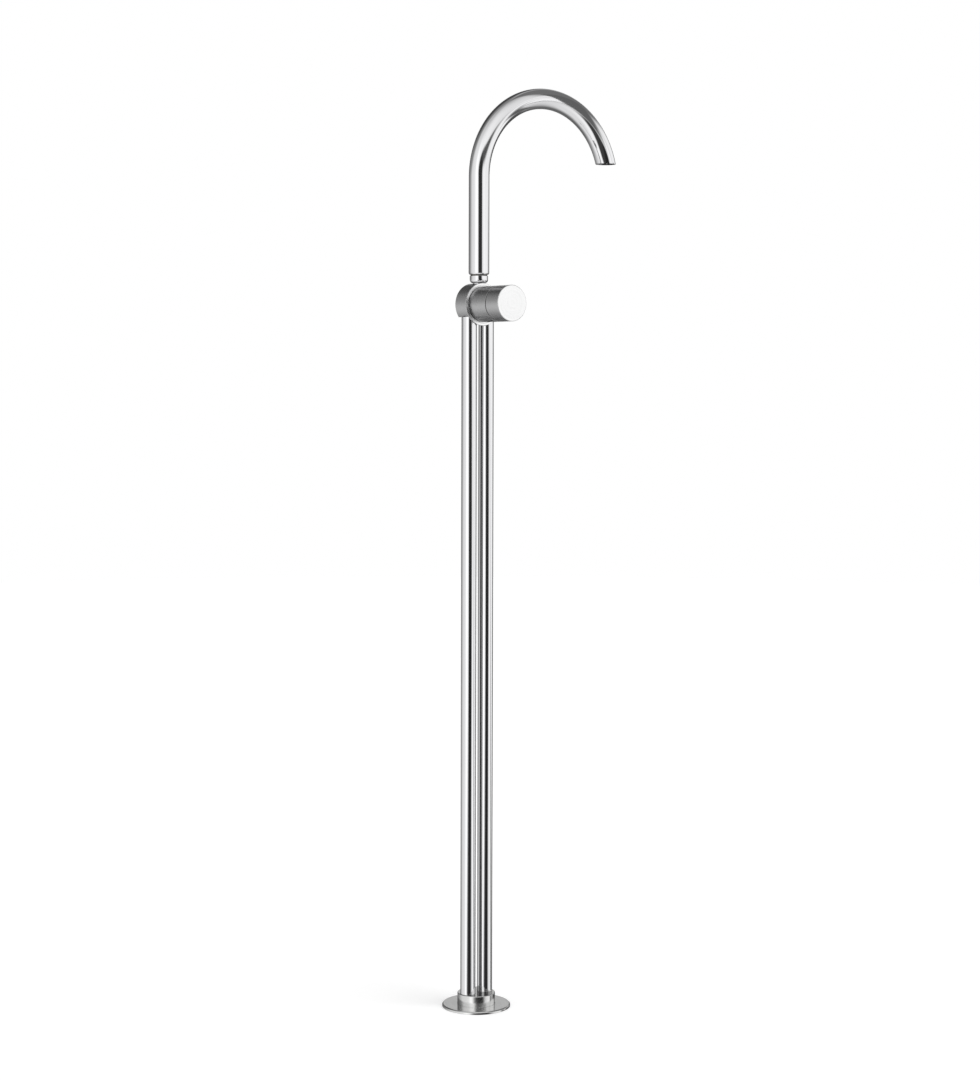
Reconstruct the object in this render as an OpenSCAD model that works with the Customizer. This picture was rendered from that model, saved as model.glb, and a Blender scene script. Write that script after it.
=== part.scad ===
// Floor-standing basin mixer: two supply pipes on a floor rosette, a drum-shaped mixing
// head with a turning knob on its side, and a swivelling swan-neck spout on top.
// The origin is the centre of the base on the floor. The spout points along +X at rest,
// the knob along -Y, and +Z is up. All sizes are millimetres.

/* [Floor plate and rosette] */
// Diameter of the rosette that covers the floor plate
rosette_d = 85; // [80:0.5:110]
// Sheet thickness of the rosette's top
rosette_wall = 1; // [0.8:0.1:2]
// Width of the rosette's rim that stands on the floor
rosette_rim = 3; // [2:0.5:5]
// Bevel round the rosette's upper edge
rosette_bevel = 1.2; // [0.4:0.1:2]
// Thickness of the floor plate
plate_t = 2.4; // [2:0.1:6]
// Diameter of the circle that the floor screws stand on
bolt_circle_d = 62; // [60:1:66]
// Diameter of the floor screw holes
bolt_hole_d = 5.5; // [4:0.1:6.5]
// Diameter of the countersinks
bolt_head_d = 9.6; // [7:0.1:11]
// Number of floor screws
bolt_count = 4; // [3:1:6]

/* [Foot collar] */
// Outer diameter of the foot collar
collar_d = 47; // [46:0.5:50]
// Wall of the collar round the hub
collar_wall = 3.4; // [3:0.1:4]
// Height of the hub that stands up from the floor plate
hub_h = 7; // [6:0.5:10]
// Wall of the hub
hub_wall = 1.8; // [1.5:0.1:2]
// Thickness of the web between the hub and the pipe sockets
collar_web = 1.6; // [1:0.1:4]
// Depth of the pipe sockets in the collar
pipe_seat = 6; // [4:0.5:12]
// Chamfer on the collar's upper edge
collar_edge = 0.6; // [0.2:0.1:0.8]
// Diameter of the clamping screws in the collar
clamp_screw_d = 4; // [3:0.5:4]

/* [Supply pipes] */
// Outer diameter of each pipe
pipe_d = 19; // [17:0.1:20]
// Wall of each pipe
pipe_wall = 1.5; // [1:0.1:2]
// Distance between the two pipe axes
pipe_pitch = 26; // [24:0.1:26.5]
// Length of the threaded inlet bushes
inlet_l = 14; // [8:0.5:20]
// Bore of the inlet threads, M10 x 1
inlet_bore_d = 8.92; // [8:0.01:10]
// Length of the nipple shank inside the pipe
shank_l = 12; // [8:0.5:20]
// Thread diameter of the nipples in the drum
nipple_thread_d = 12; // [10:0.5:12]
// Thread length of the nipples in the drum
nipple_thread_l = 7.5; // [5:0.5:8]
// Waterway of the nipples
nipple_bore_d = 8; // [6:0.5:8]

/* [Mixing head] */
// Height of the knob's axis above the floor
head_z = 876; // [700:1:1000]
// Diameter of the drum
drum_d = 52; // [50:0.5:60]
// Depth of the drum behind the spout's axis
drum_back = 14; // [13:0.5:20]
// Depth of the drum in front of the spout's axis
drum_front = 7.5; // [7.3:0.1:12]
// Height of the drum's flat underside below its axis
drum_flat = 15.6; // [15:0.1:17]
// Distance of the spout's axis in front of the pipes
spout_forward = 2.2; // [1:0.1:2.2]
// Chamfer on the drum's back edge
drum_edge = 0.5; // [0.2:0.1:1]
// Thickness of the full ring on the drum's face
ring_t = 1.5; // [1:0.1:3]
// Width of that ring, which sits on a shoulder of the drum
ring_w = 2.8; // [1:0.1:3]
// Open joint between that ring and the sleeve
ring_gap = 1; // [0.5:0.1:2]

/* [Sleeve and knob] */
// Outer diameter of the sleeve and the knob
knob_d = 44; // [43.6:0.1:50]
// Length of the fixed sleeve
sleeve_l = 32; // [31:0.5:40]
// Wall of the sleeve
sleeve_wall = 1.2; // [1:0.1:1.4]
// Open joint between the sleeve and the knob
knob_gap = 0.8; // [0.5:0.1:1.5]
// Length of the knob
knob_l = 24.7; // [22:0.1:35]
// Wall of the knob
knob_wall = 2.5; // [2:0.1:4]
// Thickness of the knob's closed end
knob_end_t = 4.5; // [2:0.1:6]
// Diameter of the knob's inner hub
knob_hub_d = 24; // [20:0.5:30]
// Diameter of the splined insert in the knob
insert_d = 14; // [12:0.5:16]
// Diameter of the knob's clamping screw
knob_screw_d = 5; // [3:0.5:6]
// Angle that the knob turns from shut to fully hot
knob_turn = 100; // [80:5:110]

/* [Cartridge] */
// Diameter of the cartridge
cart_d = 35; // [34:0.1:35.4]
// Thickness of the cartridge's ported base
cart_base_t = 5; // [4:0.5:7]
// Height of the cartridge's housing above its base
cart_h = 17.4; // [16:0.1:18]
// Diameter of the ceramic discs
disc_d = 28; // [26:0.5:28.5]
// Thickness of each ceramic disc
disc_t = 3.4; // [2.5:0.1:3.6]
// Diameter of the spindle
spindle_d = 8; // [6:0.5:9]
// Side of the spindle's square end
square_w = 5.6; // [4:0.1:5.6]
// Height of the retaining nut
nut_h = 6.9; // [5:0.1:7]
// Inside diameter of the retaining nut
nut_bore_d = 22; // [18:0.5:24]
// Diameter of the two inlet ports
inlet_port_d = 6; // [4:0.5:6]
// Diameter of the outlet port
outlet_port_d = 7; // [5:0.5:7]

/* [Spout] */
// Outer diameter of the spout tube
spout_d = 25.4; // [24:0.1:30]
// Wall of the spout tube
spout_wall = 1.5; // [1:0.1:2]
// Straight height of the spout tube below its bend
spout_rise = 119.5; // [60:0.5:250]
// Radius of the bend at the middle of the tube
bend_r = 103.1; // [60:0.1:140]
// Height of the level mouth above the bend's centre
mouth_rise = 27.8; // [15:0.1:35]
// Angle that the spout swivels to each side
swivel = 60; // [30:5:75]
// Outer diameter of the spout socket
socket_d = 22.5; // [21:0.1:25]
// Height of the spout socket
socket_h = 11.8; // [11:0.1:20]
// Rounding of the socket's lower edge
socket_round = 4.3; // [3:0.1:4.3]
// Diameter of the spigot that turns in the socket
spigot_d = 15; // [14:0.1:16]
// Waterway through the spigot
spigot_bore_d = 9; // [6:0.5:9]
// Length of the spigot's plug inside the tube
plug_l = 12; // [8:0.5:20]
// Thickness of the swivel bearing ring
swivel_t = 1.4; // [1:0.1:3]
// Thread diameter of the socket's stem in the drum
stem_d = 12; // [10:0.5:12]
// Thread length of the socket's stem
stem_l = 7.5; // [5:0.5:9]
// Thickness of the washer under the socket
washer_t = 1; // [0.6:0.1:1.5]
// Diameter of the screw that holds and stops the spout
lock_screw_d = 4; // [3:0.5:4]

/* [Aerator] */
// Length of the bush in the mouth
bush_l = 12; // [8:0.5:12]
// Thread diameter of the aerator
aerator_d = 19; // [17:0.1:19.5]
// Wall of the aerator's housing
aerator_wall = 1.2; // [0.8:0.1:2]
// Height of the aerator's housing
aerator_h = 8; // [6:0.5:9]
// Thickness of the aerator's screen
screen_t = 1.2; // [0.8:0.1:2]
// Square openings of the screen
screen_hole = 1.5; // [1:0.1:1.6]
// Spacing of the screen's openings
screen_pitch = 2.2; // [2:0.1:3]

/* [Hidden] */
$fn = 96;

// Overlap that keeps a cut clear of the face it passes
eps = 0.1;
// Gap between pieces that are pressed, screwed or brazed together
seat_gap = 0.05;
// Radial clearance of the turning fits
run_gap = 0.05;
// How far a sealing ring stands out of its groove
ring_squeeze = 0.03;
// Gap between faces that turn past each other
face_gap = 0.05;
// Clearance round the hub and the rosette's hole
slip_gap = 0.2;
// Gap between turning and fixed parts that must not touch
air_gap = 0.4;
// Width of an O-ring's groove, as a share of the ring's thickness
groove_ratio = 1.3;
// Hexagon key of a grub screw, and where it starts, as a share of the screw's diameter and length
key_ratio = 0.55;
// How far a grub screw's end lies below the surface
clamp_setback = 0.3;
// Small chamfer on turned edges
turned_edge = 0.4;
// How far a piece is let into its neighbour where the two are one solid
fuse = 1;

steel = [0.78, 0.78, 0.77];
steel_dark = [0.62, 0.62, 0.62];
brass = [0.78, 0.66, 0.38];
rubber = [0.12, 0.12, 0.12];
ceramic = [0.93, 0.92, 0.88];
resin = [0.80, 0.80, 0.78];
dark_resin = [0.22, 0.22, 0.23];

// Heights at the base
plate_gap = 0.5;
rosette_h = plate_t + seat_gap * 2 + rosette_wall;
hub_top = plate_t + hub_h;
hub_top_gap = 0.5;
socket_floor = hub_top + hub_top_gap + collar_web;
collar_top = socket_floor + pipe_seat;
plate_d = rosette_d - 2 * (rosette_rim + plate_gap);
collar_bore_r = collar_d / 2 - collar_wall;
hub_r = collar_bore_r - slip_gap;
hub_bore_r = hub_r - hub_wall;
hose_way_d = inlet_bore_d + 4;
clamp_z = (rosette_h + hub_top + hub_top_gap) / 2;
clamp_angles = [18, 88];

// Pipes and nipples
pipe_x = pipe_pitch / 2;
pipe_bore_r = pipe_d / 2 - pipe_wall;
pipe_top = head_z - drum_flat;
shank_r = pipe_bore_r - seat_gap;
oring_t = 2;
nipple_ring_r = shank_r - oring_t / 2;
nipple_ring_z = pipe_top - shank_l / 2;

// Places along the knob's axis, counted forwards from the spout's axis
thread_depth = 0.7;
neck_lip = 1;
drum_r = drum_d / 2;
ring_front = drum_front + ring_t;
ring_bore_r = drum_r - ring_w;
sleeve_back = ring_front + ring_gap;
sleeve_front = sleeve_back + sleeve_l;
knob_back = sleeve_front + knob_gap;
knob_front = knob_back + knob_l;
knob_r = knob_d / 2;
sleeve_bore_r = knob_r - sleeve_wall;
neck_r = sleeve_bore_r - air_gap;
cart_r = cart_d / 2;
cart_bore_r = cart_r + seat_gap * 2;
nut_thread_r = cart_bore_r + thread_depth;
cart_base_back = drum_front + seat_gap;
cart_base_front = cart_base_back + cart_base_t;
housing_front = cart_base_front + cart_h;
neck_front = housing_front + nut_h + neck_lip;
fixed_back = cart_base_front + seat_gap;
moving_back = fixed_back + disc_t + face_gap;
carrier_back = moving_back + disc_t + seat_gap;
carrier_t = 3.6;
carrier_front = carrier_back + carrier_t;
housing_hollow = carrier_front + air_gap;
spindle_r = spindle_d / 2;
spindle_back = carrier_back + fuse;
skirt_l = 2.5;
hub_back = knob_back + skirt_l;
hub_front = knob_front - knob_end_t;
square_back = hub_back - 1;
square_front = hub_front - 1;
knob_screw_t = (hub_back + hub_front) / 2;
spindle_ring_t = 1.4;
spindle_ring_at = (housing_hollow + housing_front) / 2;
sleeve_ring_t = 1.6;
sleeve_ring_at = (sleeve_back + neck_front) / 2;

// Waterways in the drum, with x across, y up and z forwards
inlet_port_x = 9.5;
inlet_port_y = -4;
outlet_port_y = 9;
port_wall = 1.1;
port_seal_t = 1.45;
cross_port_d = inlet_port_d - 1;
thread_runout = 0.5;

// The turning disc joins the ports through a round channel with an arm for each inlet
disc_gap = 0.5;
channel_r = 6.5;
channel_reach = 11.5;
channel_depth = disc_t / 2;
inlet_angle = atan2(inlet_port_y, inlet_port_x);
cold_arm = [inlet_angle - 80, inlet_angle - 20];
hot_arm = [180 - inlet_angle - knob_turn - 25, 180 - inlet_angle - knob_turn + 25];

// A lug on the disc carrier runs in a slot in the housing and stops the turn at both ends
lug_angle = 24;
lug_reach = 1.2;
lug_play = 1;

// Heights at the spout's foot
swivel_inset = 0.9;
spot_depth = 3.5;
foot_gap = 0.3;
seat_z = head_z + drum_r - spot_depth;
socket_z = seat_z + washer_t;
socket_skirt_z = head_z + drum_r + seat_gap;
socket_top = socket_z + socket_h;
socket_neck_r = socket_d / 2 - socket_round;
spigot_r = spigot_d / 2;
cup_rise = 1;
cup_floor_z = socket_skirt_z + cup_rise;
spigot_z = cup_floor_z + foot_gap;
spout_z = socket_top + face_gap + swivel_t + face_gap;
spout_r = spout_d / 2;
spout_bore_r = spout_r - spout_wall;
bend_z = spout_z + spout_rise;
mouth_z = bend_z + mouth_rise;
spigot_ring_t = 1.5;
lock_z = (spigot_z + socket_top) / 2;
lock_tip_r = 1;
lock_groove_depth = 1.3;
lock_groove_r = spigot_r - lock_groove_depth;
lock_groove_h = 2 * lock_tip_r + air_gap;
lock_swing = swivel + asin((lock_tip_r + foot_gap) / (lock_groove_r + foot_gap));
ring_land = 0.5;
ring_offset = (lock_groove_h + spigot_ring_t * groove_ratio) / 2 + ring_land;

// Mouth: the bush sits in the bend, with its lower face just above the level cut
mouth_angle = 180 - asin(mouth_rise / (bend_r - spout_r));
bush_half = (bush_l / 2) / bend_r * 180 / PI;
mouth_inset = 1.2;
bush_angle = mouth_angle - mouth_inset - bush_half;
bush_sag = bush_l * bush_l / (8 * bend_r);
bush_r = spout_bore_r - bush_sag - seat_gap;
bush_bore_r = aerator_d / 2 + seat_gap;
aerator_r = aerator_d / 2;
bush_lip = 1.5;
seal_t = 1.4;

module ring(r_out, r_in, h) {
  difference() {
    cylinder(r = r_out, h = h);
    translate([0, 0, -eps]) cylinder(r = r_in, h = h + 2 * eps);
  }
}

module oring(r_mid, t) {
  rotate_extrude() translate([r_mid, 0]) circle(d = t, $fn = 32);
}

// Both pipe axes, hot on the left of someone who faces the knob
module at_hot() { translate([-pipe_x, 0, 0]) children(); }
module at_cold() { translate([pipe_x, 0, 0]) children(); }

// The knob's axis: children have x to the right, y up and z towards the knob
module on_head() {
  translate([0, -spout_forward, head_z]) rotate([90, 0, 0]) children();
}

// The spout's upright axis
module on_spout() { translate([0, -spout_forward, 0]) children(); }

// A grub screw along z with its tip at the origin and its hexagon socket at the far end
module grub_screw(d, l) {
  difference() {
    cylinder(d = d, h = l);
    translate([0, 0, l * key_ratio]) cylinder(d = d * key_ratio, h = l, $fn = 6);
  }
}

// The cut for an O-ring in a shaft's side, from its middle outwards
module groove(middle, r_out, r_floor, thickness) {
  width = thickness * groove_ratio;
  translate([0, 0, middle - width / 2]) ring(r_out + fuse, r_floor, width);
}

module base_plate() {
  sink_h = (bolt_head_d - bolt_hole_d) / 2;
  color(steel_dark) difference() {
    union() {
      cylinder(d = plate_d, h = plate_t);
      cylinder(r = hub_r, h = hub_top);
    }
    translate([0, 0, -eps]) cylinder(r = hub_bore_r, h = hub_top + 2 * eps);
    for (i = [0 : bolt_count - 1])
      rotate([0, 0, 45 + i * 360 / bolt_count]) translate([bolt_circle_d / 2, 0, 0]) {
        translate([0, 0, -eps]) cylinder(d = bolt_hole_d, h = plate_t + 2 * eps);
        translate([0, 0, plate_t - sink_h])
          cylinder(d1 = bolt_hole_d, d2 = bolt_head_d + 2 * eps, h = sink_h + eps);
      }
  }
}

module rosette() {
  r = rosette_d / 2;
  hole_r = collar_d / 2 + slip_gap;
  under = rosette_h - rosette_wall;
  color(steel) rotate_extrude() polygon([
    [r - rosette_rim, 0], [r, 0], [r, rosette_h - rosette_bevel],
    [r - rosette_bevel, rosette_h], [hole_r, rosette_h], [hole_r, under], [r - rosette_rim, under]
  ]);
}

module foot_collar() {
  r = collar_d / 2;
  color(steel) difference() {
    rotate_extrude() polygon([
      [0, plate_t], [r, plate_t], [r, collar_top - collar_edge],
      [r - collar_edge, collar_top], [0, collar_top]
    ]);
    translate([0, 0, plate_t - eps]) cylinder(r = collar_bore_r, h = hub_h + hub_top_gap + eps);
    for (side = [-1, 1]) translate([side * pipe_x, 0, 0]) {
      translate([0, 0, socket_floor]) cylinder(r = pipe_d / 2 + seat_gap, h = pipe_seat + eps);
      translate([0, 0, hub_top]) cylinder(d = hose_way_d, h = socket_floor - hub_top + eps);
    }
    for (a = clamp_angles)
      rotate([0, 0, a]) translate([collar_bore_r - fuse, 0, clamp_z]) rotate([0, 90, 0])
        cylinder(d = clamp_screw_d + 2 * seat_gap, h = collar_wall + 2 * fuse);
  }
}

module collar_screws() {
  color(steel_dark) for (a = clamp_angles)
    rotate([0, 0, a]) translate([hub_r + seat_gap, 0, clamp_z]) rotate([0, 90, 0])
      grub_screw(clamp_screw_d, collar_wall - clamp_setback);
}

module pipe() {
  color(steel) translate([0, 0, socket_floor]) ring(pipe_d / 2, pipe_bore_r, pipe_top - socket_floor);
}

module pipe_hot() { at_hot() pipe(); }
module pipe_cold() { at_cold() pipe(); }

module inlet_bush() {
  color(brass) translate([0, 0, socket_floor]) ring(pipe_bore_r - seat_gap, inlet_bore_d / 2, inlet_l);
}

module inlet_bush_hot() { at_hot() inlet_bush(); }
module inlet_bush_cold() { at_cold() inlet_bush(); }

// The shank fills the pipe's end, and the thread above it goes up into the drum
module nipple() {
  color(brass) difference() {
    union() {
      translate([0, 0, pipe_top - shank_l]) cylinder(r = shank_r, h = shank_l);
      translate([0, 0, pipe_top - eps])
        cylinder(d = nipple_thread_d - 2 * seat_gap, h = nipple_thread_l + eps);
    }
    translate([0, 0, pipe_top - shank_l - eps])
      cylinder(d = nipple_bore_d, h = shank_l + nipple_thread_l + 2 * eps);
    groove(nipple_ring_z, shank_r, nipple_ring_r - oring_t / 2 - seat_gap, oring_t);
  }
}

module nipple_hot() { at_hot() nipple(); }
module nipple_cold() { at_cold() nipple(); }

module nipple_orings() {
  color(rubber) {
    at_hot() translate([0, 0, nipple_ring_z]) oring(nipple_ring_r, oring_t);
    at_cold() translate([0, 0, nipple_ring_z]) oring(nipple_ring_r, oring_t);
  }
}

// Supply and outlet ports, the same in the drum, the cartridge base and the fixed disc
module ports(from, to, extra = 0) {
  for (side = [-1, 1]) translate([side * inlet_port_x, inlet_port_y, from])
    cylinder(d = inlet_port_d + 2 * extra, h = to - from);
  translate([0, outlet_port_y, from]) cylinder(d = outlet_port_d + 2 * extra, h = to - from);
}

module drum() {
  difference() {
    union() {
      translate([0, 0, -drum_back]) cylinder(r1 = drum_r - drum_edge, r2 = drum_r, h = drum_edge);
      translate([0, 0, drum_edge - drum_back])
        cylinder(r = drum_r, h = drum_back + drum_front - drum_edge);
    }
    translate([-drum_r, -drum_r - drum_flat, -drum_back - eps])
      cube([drum_d, drum_r, drum_back + drum_front + 2 * eps]);
  }
}

// The nipple threads and the ways above them, bored upwards on the pipe axes
module supply_bores() {
  for (side = [-1, 1]) translate([side * pipe_x, 0, 0]) rotate([-90, 0, 0]) {
    translate([0, 0, -drum_flat - eps])
      cylinder(d = nipple_thread_d, h = nipple_thread_l + thread_runout + eps);
    translate([0, 0, -drum_flat])
      cylinder(d = nipple_bore_d, h = drum_flat + inlet_port_y + cross_port_d / 2);
  }
}

module mixer_body() {
  port_back = -spout_forward - inlet_port_d / 2;
  color(steel) on_head() difference() {
    union() {
      drum();
      translate([0, 0, drum_front]) {
        cylinder(r = ring_bore_r - seat_gap, h = ring_t);
        cylinder(r = neck_r, h = neck_front - drum_front);
      }
    }
    translate([0, 0, drum_front]) cylinder(r = cart_bore_r, h = neck_front);
    translate([0, 0, housing_front - thread_runout]) cylinder(r = nut_thread_r, h = neck_front);
    groove(sleeve_ring_at, neck_r, sleeve_bore_r - sleeve_ring_t - 2 * seat_gap, sleeve_ring_t);
    ports(port_back, drum_front + eps);
    translate([0, 0, -spout_forward]) supply_bores();
    for (side = [-1, 1]) translate([side * inlet_port_x, inlet_port_y, -spout_forward])
      rotate([0, side * 90, 0]) cylinder(d = cross_port_d, h = pipe_x - inlet_port_x);
    rotate([-90, 0, 0]) {
      translate([0, 0, outlet_port_y]) cylinder(d = outlet_port_d, h = drum_r);
      translate([0, 0, drum_r - spot_depth - stem_l - thread_runout]) cylinder(d = stem_d, h = drum_r);
      translate([0, 0, drum_r - spot_depth]) cylinder(r = socket_neck_r + 2 * seat_gap, h = drum_r);
    }
  }
}

module front_ring() {
  color(steel) on_head() translate([0, 0, drum_front]) ring(drum_r, ring_bore_r, ring_t);
}

module sleeve() {
  color(steel) on_head() translate([0, 0, sleeve_back]) ring(knob_r, sleeve_bore_r, sleeve_l);
}

module sleeve_oring() {
  color(rubber) on_head() translate([0, 0, sleeve_ring_at])
    oring(sleeve_bore_r - sleeve_ring_t / 2 - seat_gap, sleeve_ring_t);
}

module cartridge_base() {
  color(resin) on_head() difference() {
    translate([0, 0, cart_base_back]) cylinder(r = cart_r, h = cart_base_t);
    ports(cart_base_back - eps, cart_base_front + eps);
    ports(cart_base_back - eps, cart_base_back + port_seal_t + seat_gap, port_wall + seat_gap);
  }
}

module port_seals() {
  color(rubber) on_head() difference() {
    ports(cart_base_back, cart_base_back + port_seal_t, port_wall);
    ports(cart_base_back - eps, cart_base_back + port_seal_t + eps);
  }
}

module fixed_disc() {
  color(ceramic) on_head() difference() {
    translate([0, 0, fixed_back]) cylinder(d = disc_d, h = disc_t);
    ports(fixed_back - eps, fixed_back + disc_t + eps);
  }
}

// The housing is a cup over the discs; its nose centres the spindle
module cartridge_housing() {
  nose = 3;
  nose_gap = 0.5;
  hollow_r = disc_d / 2 + disc_gap;
  color(resin) on_head() difference() {
    union() {
      translate([0, 0, cart_base_front]) cylinder(r = cart_r, h = cart_h);
      translate([0, 0, housing_front - fuse]) cylinder(d = nut_bore_d - 2 * nose_gap, h = nose + fuse);
    }
    translate([0, 0, cart_base_front - eps])
      cylinder(r = hollow_r, h = housing_hollow - cart_base_front + eps);
    translate([0, 0, cart_base_front - 2 * eps])
      lug(hollow_r - fuse, hollow_r + lug_reach, carrier_front + air_gap / 2 - cart_base_front + 2 * eps,
        -lug_angle / 2 - lug_play, knob_turn + lug_angle / 2 + lug_play);
    translate([0, 0, housing_hollow - fuse])
      cylinder(r = spindle_r + run_gap + ring_squeeze, h = cart_h + nose);
  }
}

module retaining_nut() {
  back = housing_front + seat_gap;
  slot_w = 4;
  slot_depth = 2.5;
  color(brass) on_head() difference() {
    translate([0, 0, back]) ring(nut_thread_r - seat_gap, nut_bore_d / 2, nut_h);
    for (a = [0, 90]) rotate([0, 0, a])
      translate([-cart_d, -slot_w / 2, back + nut_h - slot_depth])
        cube([2 * cart_d, slot_w, slot_depth + eps]);
  }
}

// Its channel always meets the outlet. Its arms reach the cold inlet first, then both, then the hot one
module moving_disc() {
  color(ceramic) on_head() difference() {
    translate([0, 0, moving_back]) cylinder(d = disc_d - 2 * disc_gap, h = disc_t);
    translate([0, 0, moving_back - eps]) cylinder(r = channel_r, h = channel_depth + eps);
    for (arm = [cold_arm, hot_arm]) translate([0, 0, moving_back - eps]) rotate([0, 0, arm[0]])
      rotate_extrude(angle = arm[1] - arm[0])
        translate([channel_r - fuse, 0])
          square([channel_reach - channel_r + fuse, channel_depth + eps]);
  }
}

// A sector of a ring, from one angle to another
module lug(r_in, r_out, h, from, to) {
  rotate([0, 0, from]) rotate_extrude(angle = to - from) translate([r_in, 0]) square([r_out - r_in, h]);
}

module disc_carrier() {
  r = disc_d / 2 - disc_gap;
  color(dark_resin) on_head() translate([0, 0, carrier_back]) difference() {
    union() {
      cylinder(r = r, h = carrier_t);
      lug(r - fuse, r + 2 * disc_gap + lug_reach - air_gap / 2, carrier_t,
        -lug_angle / 2, lug_angle / 2);
    }
    translate([0, 0, -eps]) cylinder(r = spindle_r + seat_gap, h = carrier_t + 2 * eps);
  }
}

module spindle() {
  color(brass) on_head() difference() {
    union() {
      translate([0, 0, spindle_back]) cylinder(r = spindle_r, h = square_back - spindle_back);
      translate([-square_w / 2, -square_w / 2, square_back - eps])
        cube([square_w, square_w, square_front - square_back + eps]);
    }
    groove(spindle_ring_at, spindle_r, spindle_r - spindle_ring_t, spindle_ring_t);
  }
}

module spindle_oring() {
  color(rubber) on_head() translate([0, 0, spindle_ring_at])
    oring(spindle_r + ring_squeeze - spindle_ring_t / 2, spindle_ring_t);
}

module knob() {
  edge = turned_edge;
  color(steel) on_head() difference() {
    union() {
      rotate_extrude() polygon([
        [0, hub_front], [knob_r - knob_wall, hub_front], [knob_r - knob_wall, knob_back - skirt_l],
        [sleeve_bore_r - air_gap, knob_back - skirt_l], [sleeve_bore_r - air_gap, knob_back],
        [knob_r, knob_back], [knob_r, knob_front - edge], [knob_r - edge, knob_front], [0, knob_front]
      ]);
      translate([0, 0, hub_back]) cylinder(d = knob_hub_d, h = hub_front - hub_back + fuse);
    }
    translate([0, 0, hub_back - eps])
      cylinder(d = insert_d + 2 * seat_gap, h = hub_front - hub_back + eps);
    translate([0, 0, knob_screw_t]) rotate([90, 0, 0])
      cylinder(d = knob_screw_d + 2 * seat_gap, h = knob_r + fuse);
  }
}

module knob_insert() {
  color(dark_resin) on_head() difference() {
    translate([0, 0, hub_back]) cylinder(d = insert_d, h = hub_front - hub_back - seat_gap);
    translate([-square_w / 2 - seat_gap, -square_w / 2 - seat_gap, hub_back - eps])
      cube([square_w + 2 * seat_gap, square_w + 2 * seat_gap, square_front - hub_back + air_gap + eps]);
  }
}

module knob_screw() {
  color(steel_dark) on_head() translate([0, -insert_d / 2 - seat_gap, knob_screw_t]) rotate([90, 0, 0])
    grub_screw(knob_screw_d, (knob_hub_d - insert_d) / 2);
}

module spout_socket() {
  r = socket_d / 2;
  edge = turned_edge;
  color(steel) on_spout() difference() {
    union() {
      rotate_extrude() {
        polygon([
          [0, socket_z], [socket_neck_r, socket_z], [socket_neck_r, socket_skirt_z + socket_round],
          [r, socket_skirt_z + socket_round], [r, socket_top - edge],
          [r - edge, socket_top], [0, socket_top]
        ]);
        translate([socket_neck_r, socket_skirt_z + socket_round]) intersection() {
          circle(r = socket_round);
          translate([0, -socket_round]) square(socket_round);
        }
      }
      translate([0, 0, seat_z - stem_l])
        cylinder(d = stem_d - 2 * seat_gap, h = stem_l + washer_t + fuse);
    }
    translate([0, 0, seat_z - stem_l - eps]) cylinder(d = outlet_port_d, h = stem_l + socket_h);
    translate([0, 0, cup_floor_z]) cylinder(r = spigot_r + run_gap, h = socket_h);
    translate([0, 0, lock_z]) rotate([-90, 0, 0])
      cylinder(d = lock_screw_d + 2 * seat_gap, h = socket_d);
  }
}

module socket_washer() {
  color(dark_resin) on_spout() translate([0, 0, seat_z])
    ring(socket_neck_r, stem_d / 2 + seat_gap, washer_t - seat_gap);
}

// Its tip stands in the spigot's groove: it holds the spout down and stops its swing
module lock_screw() {
  start = spigot_r + air_gap;
  color(steel_dark) on_spout() translate([0, 0, lock_z]) rotate([-90, 0, 0]) {
    translate([0, 0, lock_groove_r + foot_gap]) cylinder(r = lock_tip_r, h = start - lock_groove_r);
    translate([0, 0, start]) grub_screw(lock_screw_d, socket_d / 2 - start - clamp_setback);
  }
}

module swivel_ring() {
  color(dark_resin) on_spout() translate([0, 0, socket_top + face_gap])
    ring(socket_d / 2 - swivel_inset, spigot_r + seat_gap, swivel_t);
}

// A round section swept over the bend, from the upright tube towards the mouth
module along_bend(angle) {
  translate([bend_r, 0, bend_z]) rotate([90, 0, 180])
    rotate_extrude(angle = angle) translate([bend_r, 0]) children();
}

module spout_tube() {
  edge = 1;
  edge_h = 1.4;
  sweep = 176;
  color(steel) on_spout() difference() {
    union() {
      translate([0, 0, spout_z]) cylinder(r1 = spout_r - edge, r2 = spout_r, h = edge_h);
      translate([0, 0, spout_z + edge_h]) cylinder(r = spout_r, h = spout_rise - edge_h);
      along_bend(sweep) circle(r = spout_r);
    }
    translate([0, 0, spout_z - eps]) cylinder(r = spout_bore_r, h = spout_rise + eps);
    along_bend(sweep + 1) circle(r = spout_bore_r);
    translate([bend_r, -spout_d, spout_z]) cube([bend_r + spout_d, 2 * spout_d, mouth_z - spout_z]);
  }
}

// Spigot with two O-ring grooves and the stop groove, and a plug brazed into the tube
module spout_spigot() {
  color(brass) on_spout() difference() {
    union() {
      translate([0, 0, spigot_z]) cylinder(r = spigot_r, h = spout_z - spigot_z + fuse);
      translate([0, 0, spout_z]) cylinder(r = spout_bore_r - seat_gap, h = plug_l);
    }
    translate([0, 0, spigot_z - eps])
      cylinder(d = spigot_bore_d, h = spout_z - spigot_z + plug_l + 2 * eps);
    for (side = [-1, 1])
      groove(lock_z + side * ring_offset, spigot_r, spigot_r - spigot_ring_t, spigot_ring_t);
    translate([0, 0, lock_z - lock_groove_h / 2]) rotate([0, 0, 90 - lock_swing])
      rotate_extrude(angle = 2 * lock_swing)
        translate([lock_groove_r, 0]) square([spigot_r, lock_groove_h]);
  }
}

module spigot_orings() {
  color(rubber) on_spout() for (side = [-1, 1])
    translate([0, 0, lock_z + side * ring_offset])
      oring(spigot_r - spigot_ring_t / 2 + ring_squeeze, spigot_ring_t);
}

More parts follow.
